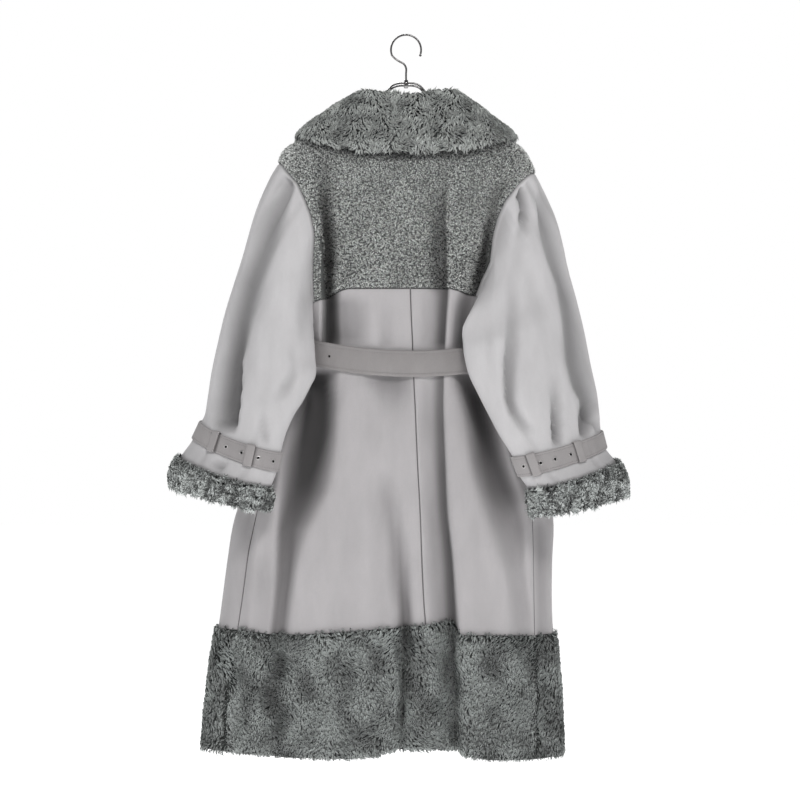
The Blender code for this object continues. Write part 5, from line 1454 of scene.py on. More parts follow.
def turnsFrom(turns, place):
    # how far round from a place, from -0.5 to 0.5 turns
    return (turns - place + 0.5) % 1.0 - 0.5


def sleeveDip(side, number, turns):
    # cosine valleys that run down the sleeve, and the pleats that fade out below its head
    total = np.zeros(turns.shape)
    for foldSide, rows in sleeveFolds + sleeveCreases:
        rows = np.asarray(rows, float)
        if foldSide != side or not rows[0, 0] <= number <= rows[-1, 0]:
            continue
        share, depth, width = [np.interp(number, rows[:, 0], rows[:, n]) for n in (1, 2, 3)]
        place = math.acos(1 - 2 * min(share, 2 - share)) / (2 * math.pi)
        place = place if share <= 1 else 1 - place
        total = total + depth * mm * dip(turnsFrom(turns, place), width, width)
    fade = max(1 - number / sleeve["pleatRows"], 0)
    for pleatSide, place, depth, width in headPleats:
        if pleatSide == side and fade > 0:
            total = total + depth * mm * fade * dip(turnsFrom(turns, place), width, width)
    return total


def sleeveRings(side, numbers, ringTurns):
    # folded rings of a sleeve, and their outward directions before folding
    even = evenTurns(len(ringTurns))
    shares = np.minimum(np.asarray(numbers) / sleeve["evenFrom"], 1.0)
    turns = [ringTurns * (1 - share) + even * share for share in shares]
    plain = np.stack([sleeveRow(side, n, t) for n, t in zip(numbers, turns)])
    out = np.cross(np.gradient(plain, axis=0), np.roll(plain, -1, axis=1) - np.roll(plain, 1, axis=1))
    out = unit(out) * np.sign((out * (plain - plain.mean(axis=1, keepdims=True))).sum(-1).sum())
    dips = np.stack([sleeveDip(side, n, t) for n, t in zip(numbers, turns)])
    dips = dips + backDip(side, plain, out)
    return plain - out * dips[..., None], out, dips


def sleeveHead(side, start, startOut, startTurns, shares):
    # the head runs straight from the armhole to a lower section; bells of turns add the routes of
    # its two ends, and half a sine adds the puff
    join = sleeve["join"][side]
    count = len(start)
    even = evenTurns(count)
    goal, goalOut, goalDips = [v[1] for v in sleeveRings(side, np.array([join - 0.5, join, join + 0.5]),
                                                         startTurns)]
    goal = goal + goalOut * goalDips[..., None]
    rows = np.asarray(sleeveTable[side], float)[:join] * mm
    grids, outs = [], []
    for t in shares:
        turns = startTurns * (1 - t) + even * t
        ring = start * (1 - t) + goal * t
        inner = rows[sleeve["innerFrom"][side] - 1:, 3:6]
        for at, route, reach in ((0, rows[:, :3], "outerBell"), (count // 2, inner, "innerBell")):
            line = np.concatenate([start[at:at + 1], route])
            run = lengthAlong(line)
            spot = np.array([smoothCurve(run / run[-1], line[:, n], t) for n in range(3)])
            bell = np.exp(-(turnsFrom(turns, at / count) / sleeve[reach]) ** 2)
            ring = ring + bell[:, None] * (spot - line[0] * (1 - t) - line[-1] * t)
        out = unit(startOut * (1 - t) + goalOut * t)
        puff = (sleeve["puff"] * np.sin(np.pi * min(t * sleeve["puffEarly"], 1.0))
                * np.abs(np.sin(2 * np.pi * turns)) ** sleeve["puffPower"])
        grids.append(ring + out * puff[:, None])
        outs.append(out)
    return np.stack(grids), np.stack(outs)


def backDip(side, plain, out):
    # the folds of a sleeve's back, faded to nothing where its cloth turns to the side
    depth = foldDepth(plain[..., 0], plain[..., 2], sleeveBackFolds[side])
    return depth * np.clip(out[..., 1] * sleeve["backFade"], 0, 1)


cuffCurls = {**tuftBase, "count": 10500, "length": 0.0075, "rise": 0.0070, "width": 0.0030, "swirl": 1.8,
             "swirlSize": 0.026, "stray": 0.5, "patch": 0.25, "patchSize": 0.022, "curl": 0.35,
             "cloud": 1.8, "seamClear": 0.004, "standTop": 0.004, "topLight": 0.4, "mottle": 0.36,
             "flankShade": 0.40}
for side, label in bothSides:
    seamRing, seamOut, seamTurns = armholeRing(side)
    join = sleeve["join"][side]
    steps = [join, *range(join + 1, 11), *sleeve["strapRings"], sleeve["suedeEnd"]]
    numbers = finer(steps, sleeve["finer"])
    rings, out, ringDips = sleeveRings(side, numbers, seamTurns)
    away = np.cross(np.roll(seamRing, -1, 0) - np.roll(seamRing, 1, 0), seamOut)
    away = unit(away) * -np.sign(away[0, 2])
    first = seamRing + away * body["seamGap"]
    turned = first + away * sleeve["turnUp"] + seamOut * sleeve["turnOut"]
    shares = np.array(sleeve["headShares"])
    head, headOut = sleeveHead(side, turned, seamOut, seamTurns, shares)
    even = evenTurns(len(seamTurns))
    headDips = np.stack([sleeveDip(side, t * join, seamTurns * (1 - t) + even * t) for t in shares])
    headDips = headDips + backDip(side, head, headOut)
    head = head - headOut * headDips[..., None]
    second = first + away * sleeve["seamRise"] - seamOut * sleeve["seamSink"]
    outer = np.concatenate([[first - seamOut * body["seamRoll"], second, turned], head, rings])
    outwardAll = np.concatenate([[seamOut, seamOut, seamOut], headOut, out])
    wall = np.full(len(outer), body["suedeWall"])
    wall[0] -= body["seamRoll"]
    inner = outer - outwardAll * wall[:, None, None]
    # painted shade: by the armhole seam and at the suede's lower end in red, and in the folds in green
    lie = np.zeros(outer.shape[:2] + (2,))
    lie[:2, :, 0] = sleeve["seamDark"]
    lie[-2:, :, 0] = sleeve["endDark"]
    lie[3:, :, 1] = np.concatenate([headDips, ringDips]) / folds["sleeveDark"]
    clothPiece("sleeve_%s_cloth" % label, outer, inner, litSleeveSuede, "suede", ["sleeve_" + label],
               "gathered", ["yoke_back_cloth"], np.clip(lie, 0, 1), closed=True)

    even = evenTurns(sleeve["furSteps"])
    numbers = np.linspace(sleeve["furFrom"], sleeve["furTo"], sleeve["furRows"])
    rings, out, _ = sleeveRings(side, numbers, even)
    rings = rings + out * sleeve["furBack"]
    plain = np.zeros(rings.shape[:2] + (2,))
    clothPiece("cuff_%s_cloth" % label, rings, rings - out * sleeve["furWall"], backingFinish, "fur",
               ["cuff_fur_" + label], "hung", ["sleeve_%s_cloth" % label], plain, closed=True)
    pileRun("cuff_%s_curls" % label, rings, out, plain[..., 0], {**cuffCurls, "seed": 31 + side},
            cuffPile, "fur", ["cuff_fur_" + label], closed=True)


print("stage 7: belt and cuff straps")
# a strap's section: share of the way from its upper to its lower edge, and height in shares of
# its thickness
strapSection = [(0.0, 0.25), (0.004, 0.75), (0.03, 1.0), (0.10, 1.0), (0.13, 0.90), (0.16, 1.0),
                (0.5, 1.03), (0.84, 1.0), (0.87, 0.90), (0.90, 1.0), (0.97, 1.0), (0.996, 0.75),
                (1.0, 0.25), (0.97, 0.0), (0.5, 0.0), (0.03, 0.0)]
# where a carrier loop's painted shade lies on its strap, in metres past the loop's middle
loopShade = {"from": 0.0075, "over": 0.0035, "under": 0.004}


def strapPiece(name, upper, lower, outward, clear, thick, nodes, restsOn, finish, loops=()):
    # the section carried round a closed path, with a painted shade along one side of each loop over it
    grid = np.stack([upper * (1 - share) + lower * share + outward * (clear + thick * height)
                     for share, height in strapSection], axis=1)
    made = meshObject(name, grid.reshape(-1, 3), [gridFaces(len(upper), len(strapSection), True, True)],
                      finish, "belt_suede")
    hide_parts(*nodes)
    run = lengthAlong(np.concatenate([upper, upper[:1]]))
    shade = np.zeros(len(upper))
    for place in loops:
        past = run[:-1] - np.interp(place * len(upper), np.arange(len(run)), run) - loopShade["from"]
        dark = np.clip(1 - past / loopShade["over"], 0, 1) * (past > -loopShade["under"])
        shade = np.maximum(shade, dark)
    paint(made, "lie", np.repeat(shade, len(strapSection))[:, None] * [[1.0, 0.0]])
    width = float(np.linalg.norm(upper - lower, axis=-1).mean())
    sheets.append({"piece": made, "flat": (round(width, 4), round(float(run[-1]), 3)), "area": None,
                   "held": "folded", "restsOn": restsOn, "with": []})


# in metres, but "in" is a share of the strap's width
stitching = {"pitch": 0.0042, "length": 0.0030, "width": 0.0008, "in": 0.13, "sink": 0.0001,
             "ahead": 0.001}     # how far on a stitch's direction is read


def stitchRuns(name, upper, lower, outward, surface):
    # two rows of stitches along a strap; each stitch is a long eight-sided bead, six corners and
    # eight faces, lying along its row
    halfLong, halfWide = stitching["length"] / 2, stitching["width"] / 2
    ways = np.broadcast_to(outward, upper.shape)
    groups = []
    for share in (stitching["in"], 1 - stitching["in"]):
        path = upper * (1 - share) + lower * share + outward * (surface - stitching["sink"])
        path, turned = [np.concatenate([v, v[:1]]) for v in (path, ways)]
        run = lengthAlong(path)
        at = np.arange(stitching["pitch"] / 2, run[-1], stitching["pitch"])
        centre = pointsAt(at, run, path)
        along = unit(pointsAt(at + stitching["ahead"], run, path) - centre)
        out = unit(pointsAt(at, run, turned))
        across = np.cross(along, out)
        groups.append(np.stack([centre - along * halfLong, centre + along * halfLong,
                                centre - across * halfWide, centre + across * halfWide,
                                centre - out * halfWide, centre + out * halfWide], 1))
    points = np.concatenate(groups)
    pattern = np.array([[0, 2, 5], [0, 5, 3], [0, 3, 4], [0, 4, 2],
                        [1, 5, 2], [1, 3, 5], [1, 4, 3], [1, 2, 4]])
    faces = (pattern[None] + (np.arange(len(points)) * 6)[:, None, None]).reshape(-1, 3)
    meshObject(name, points.reshape(-1, 3), [faces], threadFinish, "belt_suede")


# in metres: how far a disc's middle stands up and goes down, how far a ring is moved off its
# strap and the width it is seated by; "flat" is a rim's height in shares of its wire
ringForm = {"up": 0.00025, "down": 0.0006, "flat": 0.6, "lift": 0.0001, "seat": 0.004}


def ringsAt(name, spots, ringRadius, finish, wireRadius=None):
    # a torus at each spot, or a shallow dome of the same radius where no wire is given
    steps, wireSteps = 16, 8
    turn = np.linspace(0, 2 * np.pi, steps, endpoint=False)
    spin = np.linspace(0, 2 * np.pi, wireSteps, endpoint=False)
    parts, faces, start = [], [], 0
    for centre, around, along, out in spots:
        way = np.cos(turn)[:, None] * around + np.sin(turn)[:, None] * along
        if wireRadius is None:
            points = np.concatenate([centre + ringRadius * way, [centre + out * ringForm["up"]],
                                     [centre - out * ringForm["down"]]])
            faces.append(np.concatenate([fan(start, steps, start + steps),
                                         fan(start, steps, start + steps + 1, True)]))
        else:
            reach = ringRadius + wireRadius * np.cos(spin)
            points = (centre + way[:, None] * reach[None, :, None]
                      + out * (wireRadius * ringForm["flat"] * np.sin(spin))[None, :, None]).reshape(-1, 3)
            faces.append(gridFaces(steps, wireSteps, True, True) + start)
        parts.append(points)
        start += len(points)
    meshObject(name, np.concatenate(parts), [np.concatenate(faces)], finish, "belt_suede")


# a carrier loop's section: place in shares of its width, height in shares of its thickness
loopSection = [(-0.5, -0.2), (-0.5, 0.25), (-0.46, 0.46), (-0.3, 0.5), (0, 0.54), (0.3, 0.5),
               (0.46, 0.46), (0.5, 0.25), (0.5, -0.2), (0.46, -0.5), (-0.46, -0.5)]
# its bend and how far it passes the strap's edge, in shares of its thickness, and steps of the bend
loopForm = {"bend": 1.1, "past": 0.4, "steps": 6}


def plateOver(name, seat, width, thick, finish, nodes, drop=0.004):
    # a carrier loop: a rounded strip that runs over the strap and turns down past both its edges
    centre, (around, along, out), length = seat
    reach, bend, past = length / 2, thick * loopForm["bend"], thick * loopForm["past"]
    over = [(-reach - past, -drop)]
    over += [(-reach + past - bend * math.cos(b), -bend + bend * math.sin(b) + thick)
             for b in np.linspace(0, np.pi / 2, loopForm["steps"])]
    over = np.array(over + [(-a, h) for a, h in over[::-1]])
    path = centre + over[:, :1] * along + (over[:, 1:] - thick / 2) * out
    tangent = unit(np.gradient(path, axis=0))
    across = np.asarray(around, float)
    up = unit(np.cross(tangent, across))
    outside = ((up * out).sum(-1, keepdims=True)
               + (up * np.array(along) * np.sign(over[:, :1])).sum(-1, keepdims=True))
    up = up * np.sign(outside + 1e-9)
    grid = np.stack([path + across * (a * width) + up * (h * thick) for a, h in loopSection], axis=1)
    made = meshObject(name, *closedEnds(grid), finish, "belt_suede")
    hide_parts(*nodes)


def tubeAlong(path, radius, closed, sides=14):
    # a round wire: circles in the plane across the path, kept from twisting by a fixed side direction
    path = np.asarray(path, float)
    if closed:
        tangent = unit(np.roll(path, -1, 0) - np.roll(path, 1, 0))
    else:
        tangent = unit(np.gradient(path, axis=0))
    depth, up, alongDepth = np.array([0.0, 1.0, 0.001]), np.array([0.0, 0.0, 1.0]), 0.9
    side = unit(np.cross(tangent, depth))
    flat = np.abs(tangent[:, 1]) > alongDepth
    side[flat] = unit(np.cross(tangent[flat], up))
    for n in range(1, len(side)):
        if (side[n] * side[n - 1]).sum() < 0:
            side[n] = -side[n]
        side[n] = unit(side[n - 1] - tangent[n] * (side[n - 1] * tangent[n]).sum())
    other = np.cross(tangent, side)
    spin = np.linspace(0, 2 * np.pi, sides, endpoint=False)
    radius = np.broadcast_to(np.asarray(radius, float), (len(path),))
    return (path[:, None] + radius[:, None, None] * (np.cos(spin)[None, :, None] * side[:, None]
                                                     + np.sin(spin)[None, :, None] * other[:, None]))


def tubePiece(name, path, radius, finish, slotName, nodes, closed=False, sides=14):
    # a wire: closed to a ring, or with its two ends closed at the path's own ends
    grid = tubeAlong(path, radius, closed, sides)
    if closed:
        points, faces = grid.reshape(-1, 3), [gridFaces(*grid.shape[:2], True, True)]
    else:
        points, faces = closedEnds(grid, [path[0], path[-1]])
    made = meshObject(name, points, faces, finish, slotName)
    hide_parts(*nodes)


seatGap = 0.0003      # air under a plate that sits on a band, in metres


def seatOn(rings, place, width, thick):
    # where a flat plate sits on a band between two rings: centre, axes round, down and out, band width
    turns = np.arange(rings.shape[1] + 1) / rings.shape[1]
    closedRings = np.concatenate([rings, rings[:, :1]], axis=1)
    reach, middleSpot, near = 0.12, 48, 6
    spots = (place + np.linspace(-reach, reach, 2 * middleSpot + 1)) % 1.0
    edges = np.stack([[np.interp(spots, turns, ring[:, n]) for n in range(3)] for ring in closedRings])
    middle = edges[:, :, middleSpot]
    along = middle[1] - middle[0]
    length = float(np.linalg.norm(along))
    along = along / length
    around = (edges[:, :, middleSpot + near] - edges[:, :, middleSpot - near]).sum(axis=0)
    around = unit(around - along * (around @ along))
    out = np.cross(along, around)
    centre = middle.mean(axis=0)
    if out @ (centre - rings.mean(axis=(0, 1))) < 0:
        out = -out
    spread = edges - centre[None, :, None]
    beneath = np.abs(np.einsum("enk,n->ek", spread, around)) < width / 2
    height = np.einsum("enk,n->ek", spread, out)[beneath].max()
    return centre + out * (height + seatGap + thick / 2), (around, along, out), length


# in metres: a prong's height over the frame's middle, its bow, and its radius along its steps; it
# ends short of the frame's edges by a share of the bar
prongForm = {"lift": 0.0012, "bow": 0.0008, "bowTurn": 1.5, "at": (0, 1, 7, 8),
             "radius": (0.0012, 0.0012, 0.0010, 0.0007), "short": 0.6}


def buckle(name, seat, width, bar, thick, node):
    # a round-cornered frame: an oval section carried round a superellipse, with a prong across it
    centre, (around, along, out), length = seat
    steps, barSteps, prongSteps, prongSides, corner = 64, 12, 9, 8, 2 / 7.0
    turn = np.linspace(0, 2 * np.pi, steps, endpoint=False)
    long = length + 2 * bar
    a = squared(np.cos(turn), corner) * (width - bar) / 2
    b = squared(np.sin(turn), corner) * (long - bar) / 2
    path = centre + a[:, None] * around + b[:, None] * along
    tangent = unit(np.roll(path, -1, 0) - np.roll(path, 1, 0))
    sideWay = np.cross(tangent, out)
    spin = np.linspace(0, 2 * np.pi, barSteps, endpoint=False)
    grid = (path[:, None] + sideWay[:, None] * (np.cos(spin) * bar / 2)[None, :, None]
            + out * (np.sin(spin) * thick / 2)[None, :, None])
    frame = gridFaces(steps, barSteps, True, True)
    reach = width - bar * prongForm["short"]
    bow = np.cos(np.linspace(-prongForm["bowTurn"], prongForm["bowTurn"], prongSteps))
    prong = (centre + np.linspace(-0.5, 0.5, prongSteps)[:, None] * reach * around
             + (prongForm["lift"] + prongForm["bow"] * bow)[:, None] * out)
    radius = np.interp(np.arange(prongSteps), prongForm["at"], prongForm["radius"])
    pin, pinFaces = closedEnds(tubeAlong(prong, radius, False, prongSides), [prong[0], prong[-1]])
    points = np.concatenate([grid.reshape(-1, 3), pin])
    faces = [frame] + [f + steps * barSteps for f in pinFaces]
    made = meshObject(name, points, faces, metalFinish, "metal")
    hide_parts(node)


belt = {
    "z": -0.566, "width": 0.045, "thick": 0.004, "clear": 0.0050, "steps": 240,
    "sag": (0.010, 1.6, 0.6, -0.01, 0.15),   # depth, rise to the sides, fall, middle, half width
    "buckleOpening": 0.038, "buckleBar": 0.006, "buckleThick": 0.0035,
    "keeperPlace": 0.085, "keeperWidth": 0.015, "keeperThick": 0.0022,   # place in turns
    "holes": (0.126, 0.153), "holeRadius": 0.0024, "rimRadius": 0.0027, "rimWire": 0.0005,
}
angle = np.linspace(-np.pi, np.pi, belt["steps"], endpoint=False)
heights = np.full(belt["steps"], belt["z"])
x, y = plainBody(angle, heights)
beltOut = plainNormal(angle, heights)
beltOut[:, 2] = 0
beltOut = unit(beltOut)
sag, sides, fall, middle, reach = belt["sag"]
beltZ = belt["z"] + sag * (sides * (np.abs(x - middle) / reach) ** 2 - fall)
beltTop, beltLow = [np.stack([x, y, beltZ + e * belt["width"]], -1) for e in (0.5, -0.5)]
strapPiece("belt_band", beltTop, beltLow, beltOut, belt["clear"], belt["thick"], ["belt"],
           ["back_left_cloth", "back_right_cloth"], beltSuede)
surface = belt["clear"] + belt["thick"]
stitchRuns("belt_stitches", beltTop, beltLow, beltOut, surface)
spots = []
for place in belt["holes"]:
    n = np.argmin(np.abs(x - place) + (y < 0) * 9)
    centre = (beltTop[n] + beltLow[n]) / 2 + beltOut[n] * (surface + ringForm["lift"])
    spots.append((centre, np.cross([0, 0, 1.0], beltOut[n]), np.array([0, 0, 1.0]), beltOut[n]))
# near-black discs on the belt as the holes' painted shade
ringsAt("belt_hole_shades", spots, belt["holeRadius"], holeShadeFinish)
ringsAt("belt_hole_rims", spots, belt["rimRadius"], beltSuede, belt["rimWire"])
beltRings = np.stack([beltTop, beltLow]) + beltOut * surface
bar, thick = belt["buckleBar"], belt["buckleThick"]
width = belt["buckleOpening"] + 2 * bar
buckle("belt_buckle_frame", seatOn(beltRings, 0.0, width, thick), width, bar, thick, "belt_buckle")
width, thick = belt["keeperWidth"], belt["keeperThick"]
plateOver("belt_keeper_loop", seatOn(beltRings, belt["keeperPlace"], width, thick), width, thick,
          beltSuede, ["belt_keeper"])

cuffStrap = {                    # places in turns round the sleeve, by side
    "loops": {1: (0.223, 0.345), -1: (0.2445, 0.400)}, "loopWidth": 0.015, "loopThick": 0.0022,
    "buckle": 0.75, "buckleWidth": 0.034, "buckleBar": 0.0045, "buckleThick": 0.003,
    "holes": {1: (0.262, 0.316, 0.381, 0.452), -1: (0.268, 0.319, 0.372, 0.446)},
    "holeRadius": 0.0021, "eyeletRadius": 0.0031, "eyeletWire": 0.0009,
}
for side, label in bothSides:
    even = evenTurns(sleeve["strapSteps"])
    rings, out, _ = sleeveRings(side, np.array([sleeve["strapFrom"], sleeve["strapTo"]]), even)
    outMiddle = unit(out.mean(axis=0))
    strapPiece("cuff_strap_%s_band" % label, rings[0], rings[1], outMiddle, sleeve["strapClear"],
               sleeve["strapThick"], ["cuff_strap_" + label], ["sleeve_%s_cloth" % label],
               strapSuede, cuffStrap["loops"][side])
    top = sleeve["strapClear"] + sleeve["strapThick"]
    stitchRuns("cuff_stitches_" + label, rings[0], rings[1], outMiddle, top)
    outer = rings + outMiddle * top
    width, thick = cuffStrap["loopWidth"], cuffStrap["loopThick"]
    for n, place in enumerate(cuffStrap["loops"][side]):
        loopName = "strap_loop_%s_%d" % (label, n + 1)
        plateOver(loopName + "_band", seatOn(outer, place, width, thick), width, thick, strapSuede,
                  [loopName])
    spots = []
    for place in cuffStrap["holes"][side]:
        centre, axes, _ = seatOn(outer, place, ringForm["seat"], 0.0)
        spots.append((centre - axes[2] * ringForm["lift"], *axes))
    # near-black discs on the strap as the holes' painted shade
    ringsAt("cuff_hole_shades_" + label, spots, cuffStrap["holeRadius"], holeShadeFinish)
    ringsAt("cuff_eyelets_" + label, spots, cuffStrap["eyeletRadius"], eyeletFinish,
            cuffStrap["eyeletWire"])
    width, thick = cuffStrap["buckleWidth"], cuffStrap["buckleThick"]
    buckle("cuff_buckle_%s_frame" % label, seatOn(outer, cuffStrap["buckle"], width, thick), width,
           cuffStrap["buckleBar"], thick, "cuff_buckle_" + label)


print("stage 8: fur collar")
collarTufts = {**tuftBase, "count": 22000, "seed": 41, "length": 0.0108, "rise": 0.0046, "width": 0.0033,
               "swirl": 1.1, "swirlSize": 0.055, "stray": 0.20, "patch": 0.18, "patchSize": 0.05,
               "curl": 0.20, "cloud": 0.9, "seamClear": 0.006, "mottle": 0.20, "flankShade": 0.30}


def closedThrough(values, times):
    # a smooth closed curve through rows: the cubic of each row and its neighbours
    count = len(values)
    t = np.arange(count * times) / times
    n = t.astype(int)
    t = (t - n)[:, None]
    p = [values[(n + k) % count] for k in (-1, 0, 1, 2)]
    return 0.5 * (2 * p[1] + (p[2] - p[0]) * t + (2 * p[0] - 5 * p[1] + 4 * p[2] - p[3]) * t**2
                  + (3 * p[1] - p[0] - 3 * p[2] + p[3]) * t**3)


rows = np.asarray(collarRows, float)
steps = np.linspace(-1, 1, collar["steps"] + 1)
turn = np.abs(steps) * rows[-1, 0]
sign = np.where(steps < 0, -1.0, 1.0)
guide = [smoothCurve(rows[:, 0], rows[:, n] * mm, turn) for n in range(1, 7)]
roll = np.stack([guide[0] * sign, guide[1], guide[2]], -1)
edge = np.stack([guide[3] * sign, guide[4], guide[5]], -1)
down = edge - roll
lift = unit(np.cross(np.gradient(roll + edge, axis=0), down))
lift = lift * np.sign(lift[collar["steps"] // 2, 1])
thin = 1 - collar["thinBy"] * np.clip((turn - collar["thinFrom"]) / collar["thinOver"], 0, 1)[:, None]
profile = closedThrough(np.array(collarBacking, float), collar["profileFiner"])
grid = np.stack([roll + down * s + lift * (h * mm * (thin if h < collar["thinBelow"] else 1))
                 for s, h in profile], axis=1)
# the backing waves a little along its length
sway = waves(grid, collar["swaySize"], collar["swaySeed"])[..., None] * collar["sway"]
grid = grid + lift[:, None] * sway
collarCloth = meshObject("collar_cloth", *closedEnds(grid), backingFinish, "fur")
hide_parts("collar")
# the fur covers the outer face and the stand inside the neck, but not the side that lies on the yoke
times = collar["profileFiner"]
face = np.concatenate([np.arange(collar["furFrom"] * times, len(profile)),
                       np.arange(0, collar["furTo"] * times + 1)])
furGrid = grid[:, face]
outward = gridNormals(furGrid, furGrid - grid.mean(axis=1, keepdims=True))
flow = np.gradient(furGrid, axis=1)
plantTufts("collar_pile", furGrid, outward, flow, 0 * furGrid[..., 0], collarTufts, collarPile, "fur",
           ["collar"])


print("stage 9: hanger")
hanger = {"wire": 0.00165, "hookRadius": 0.0262, "spread": 0.016, "top": -0.0847, "rest": 0.0040,
          "cloth": 0.003}
centreZ = hanger["wire"] - hanger["hookRadius"]
sweep = np.radians(np.linspace(195, -22, 60))
hookLoop = np.stack([hanger["hookRadius"] * np.cos(sweep), 0 * sweep,
                     centreZ + hanger["hookRadius"] * np.sin(sweep)], -1)


def throughPoints(points, count):
    # a smooth curve through points, in count even steps of the straight way between them
    points = np.asarray(points, float)
    places = lengthAlong(points)
    at = np.linspace(0, places[-1], count)
    return np.stack([smoothCurve(places, points[:, n], at) for n in range(3)], -1)


neck = throughPoints([hookLoop[-1], (0.0205, 0, -0.0385), (0.012, 0, -0.0445), (0.003, 0, -0.0500),
                      (0.0, 0, -0.0560), (0.0, 0, -0.066), (0.0, 0, -0.0775)], 44)
tubePiece("hook_wire", np.concatenate([hookLoop, neck[1:]]), hanger["wire"], metalFinish, "metal",
          ["hook"])
# the ball at its tip, a wire whose radius follows a half turn
ball = {"radius": 0.0023, "out": 0.0026, "least": 0.00012}
tipWay = unit(hookLoop[0] - hookLoop[3])
spin = np.linspace(0, np.pi, 13)
tipPath = hookLoop[0] + tipWay * ball["out"] - tipWay * ball["radius"] * np.cos(spin)[:, None]
tubePiece("hook_ball", tipPath, np.maximum(ball["radius"] * np.sin(spin), ball["least"]), metalFinish,
          "metal", ["hook_tip"])


def turnedPiece(name, profile, sides, centre, finish, node):
    # a profile of radius and height turned round the vertical in flat sides
    spin = np.linspace(0, 2 * np.pi, sides, endpoint=False)
    profile = np.asarray(profile, float)
    grid = np.stack([profile[:, :1] * np.cos(spin), profile[:, :1] * np.sin(spin),
                     np.repeat(profile[:, 1:], sides, axis=1)], -1) + np.array(centre)
    made = meshObject(name, *closedEnds(grid), finish, "metal")
    made.data.set_sharp_from_angle(angle=math.radians(32))
    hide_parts(node)


turnedPiece("hook_nut_turned", [(0.0029, -0.0020), (0.0036, -0.0016), (0.0036, 0.0016), (0.0029, 0.0020)],
            12, (0, 0, -0.0790), metalFinish, "hook_nut")
# the clip: a rounded bar across both wires, its section a superellipse that shrinks at the ends
clipBar = {"steps": 41, "sides": 24, "past": 0.0035, "rounding": 0.0016, "power": 2 / 5.0,
           "halfWide": 0.00375, "halfHigh": 0.0040, "z": -0.0853}
across = np.linspace(-1, 1, clipBar["steps"])
barHalf = hanger["spread"] + clipBar["past"]
size = 0.55 + 0.45 * np.clip((1 - np.abs(across)) * barHalf / clipBar["rounding"], 0, 1) ** 0.5
spin = np.linspace(0, 2 * np.pi, clipBar["sides"], endpoint=False)
sx = squared(np.cos(spin), clipBar["power"]) * clipBar["halfWide"]
sz = squared(np.sin(spin), clipBar["power"]) * clipBar["halfHigh"]
grid = np.stack([size[:, None] * sx, np.repeat((across * barHalf)[:, None], clipBar["sides"], axis=1),
                 clipBar["z"] + size[:, None] * sz], -1)
clip = meshObject("hanger_clip_bar", *closedEnds(grid), metalFinish, "metal")
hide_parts("hanger_clip")


def shoulderSeat(side, z):
    # a place of the frame's wire under the shoulder, a set rest inside the coat's own surface
    _, _, back, _ = sectionAt(z)
    lean = math.acos((hanger["spread"] / float(back)) ** (body["power"] / 2))
    rest = hanger["cloth"] + hanger["wire"] + hanger["rest"]
    bx, by = plainBody(np.array(side * lean), np.array(z))
    point = np.array([bx, by, z]) - plainNormal(np.array(side * lean), np.array(z)) * rest
    return (float(point[0]), hanger["spread"], float(point[2]))


top, spread = hanger["top"], hanger["spread"]
neckWire = [(0.0, top), (0.012, top - 0.0002), (0.022, top - 0.0032), (0.031, top - 0.012),
            (0.042, top - 0.027), (0.062, -0.1340), (0.083, -0.1500)]
halves = []
for side in (1, -1):
    seat = [shoulderSeat(side, z) for z in (-0.160, -0.170, -0.181, -0.190)]
    back = [(side * px, spread, pz) for px, pz in neckWire] + seat
    endX, _, endZ = seat[-1]
    ends = [(endX + side * 0.008, spread * 0.6, endZ - 0.0085), (endX + side * 0.010, 0.0, endZ - 0.0105),
            (endX + side * 0.008, -spread * 0.6, endZ - 0.0085)]
    halves.append(back + ends + [(px, -py, pz) for px, py, pz in back[::-1]])
route = halves[0] + halves[1][::-1][1:-1]
framePath = throughPoints(route + [route[0]], 260)[:-1]
tubePiece("hanger_wire", framePath, hanger["wire"], metalFinish, "metal", ["hanger_frame"], closed=True,
          sides=12)


print("stage 10: floor, light, camera")
room = {"floor": -1.62, "size": 14.0, "white": 0.92, "glow": 0.85, "ambient": 0.20,
        "aim": (0, 0, -0.6)}
mesh = bpy.data.meshes.new("floor")
reach = room["size"]
mesh.from_pydata([(-reach, -reach, room["floor"]), (reach, -reach, room["floor"]),
                  (reach, reach, room["floor"]), (-reach, reach, room["floor"])], [], [(0, 1, 2, 3)])
floor = bpy.data.objects.new("floor", mesh)
bpy.context.collection.objects.link(floor)
floorFinish, tree, shader = startMaterial("paleFloor", 0.9)
shader.inputs["Base Color"].default_value = (room["white"],) * 3 + (1,)
shader.inputs["Emission Color"].default_value = (1, 1, 1, 1)
shader.inputs["Emission Strength"].default_value = room["glow"]
mesh.materials.append(floorFinish)

world = bpy.data.worlds.new("studio")
bpy.context.scene.world = world
world.use_nodes = True
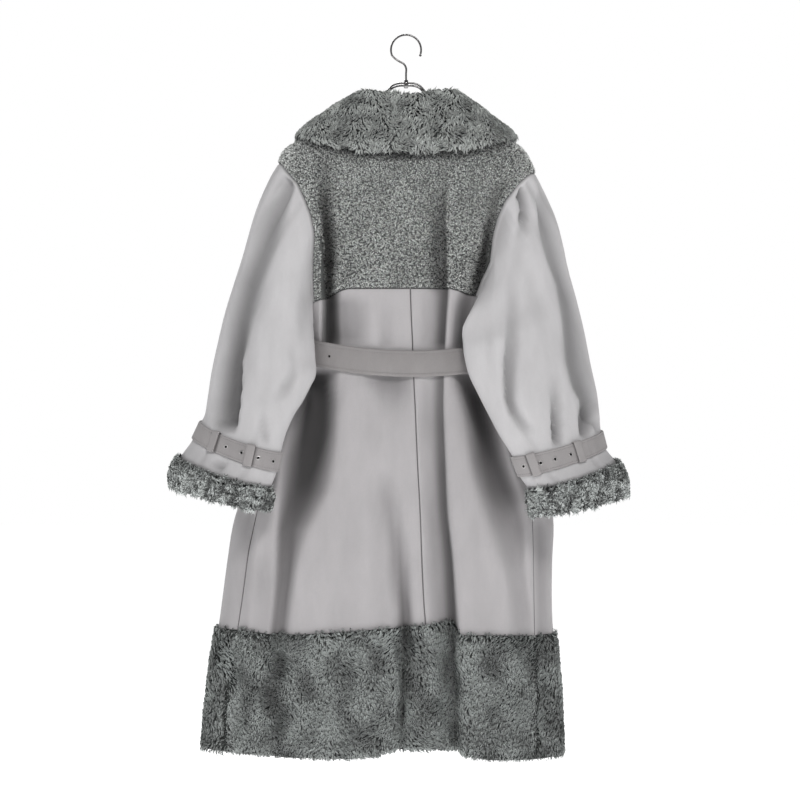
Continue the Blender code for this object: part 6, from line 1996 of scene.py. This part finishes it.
# the background looks white, and gives the coat a dimmer light all round
tree = world.node_tree
dim = tree.nodes["Background"]
dim.inputs["Color"].default_value = (1.0, 1.0, 1.0, 1)
dim.inputs["Strength"].default_value = room["ambient"]
white = node(tree, "ShaderNodeBackground", Color=(1, 1, 1, 1), Strength=1.0)
blend = node(tree, "ShaderNodeMixShader")
tree.links.new(node(tree, "ShaderNodeLightPath").outputs["Is Camera Ray"], blend.inputs[0])
tree.links.new(dim.outputs[0], blend.inputs[1])
tree.links.new(white.outputs[0], blend.inputs[2])
tree.links.new(blend.outputs[0], tree.nodes["World Output"].inputs["Surface"])


def softLight(name, place, size, power, tone):
    # a rectangle of light that looks at the coat's middle
    data = bpy.data.lights.new(name, "AREA")
    data.shape = "RECTANGLE"
    data.size, data.size_y = size
    data.energy = power
    data.color = tone
    lamp = bpy.data.objects.new(name, data)
    lamp.location = place
    way = np.array(room["aim"], float) - np.array(place, float)
    lamp.rotation_euler = Vector(way).to_track_quat("-Z", "Y").to_euler()
    bpy.context.collection.objects.link(lamp)


# place, width and height, power, tone
lamps = {
    "keyLight": ((-0.5, 3.6, 1.7), (0.9, 0.9), 70, (1.0, 0.99, 0.98)),
    "leftLight": ((3.2, 1.4, 0.6), (1.2, 1.6), 16, (0.98, 0.99, 1.0)),
    "rightLight": ((-3.2, 1.4, 0.6), (1.2, 1.6), 10, (0.98, 0.99, 1.0)),
    "frontLight": ((0.6, -3.6, 1.5), (1.4, 1.4), 70, (1.0, 1.0, 1.0)),
}
for name, values in lamps.items():
    softLight(name, *values)

camera = bpy.data.cameras.new("camera")
camera.lens = 103.5
camera.sensor_width = 36
camera.clip_end = 60
shot = bpy.data.objects.new("camera", camera)
shot.location = (0.0105, 4.0, -0.6334)      # behind the coat, level with its middle
shot.rotation_euler = (math.radians(90), 0, math.radians(180))
bpy.context.collection.objects.link(shot)
bpy.context.scene.camera = shot
bpy.context.scene.view_settings.view_transform = "Standard"
bpy.context.scene.view_settings.look = "None"


print("stage 11: cloth sizes")
for row in sheets:
    print(row["piece"].name, "cut", row["flat"], "area", row["area"])
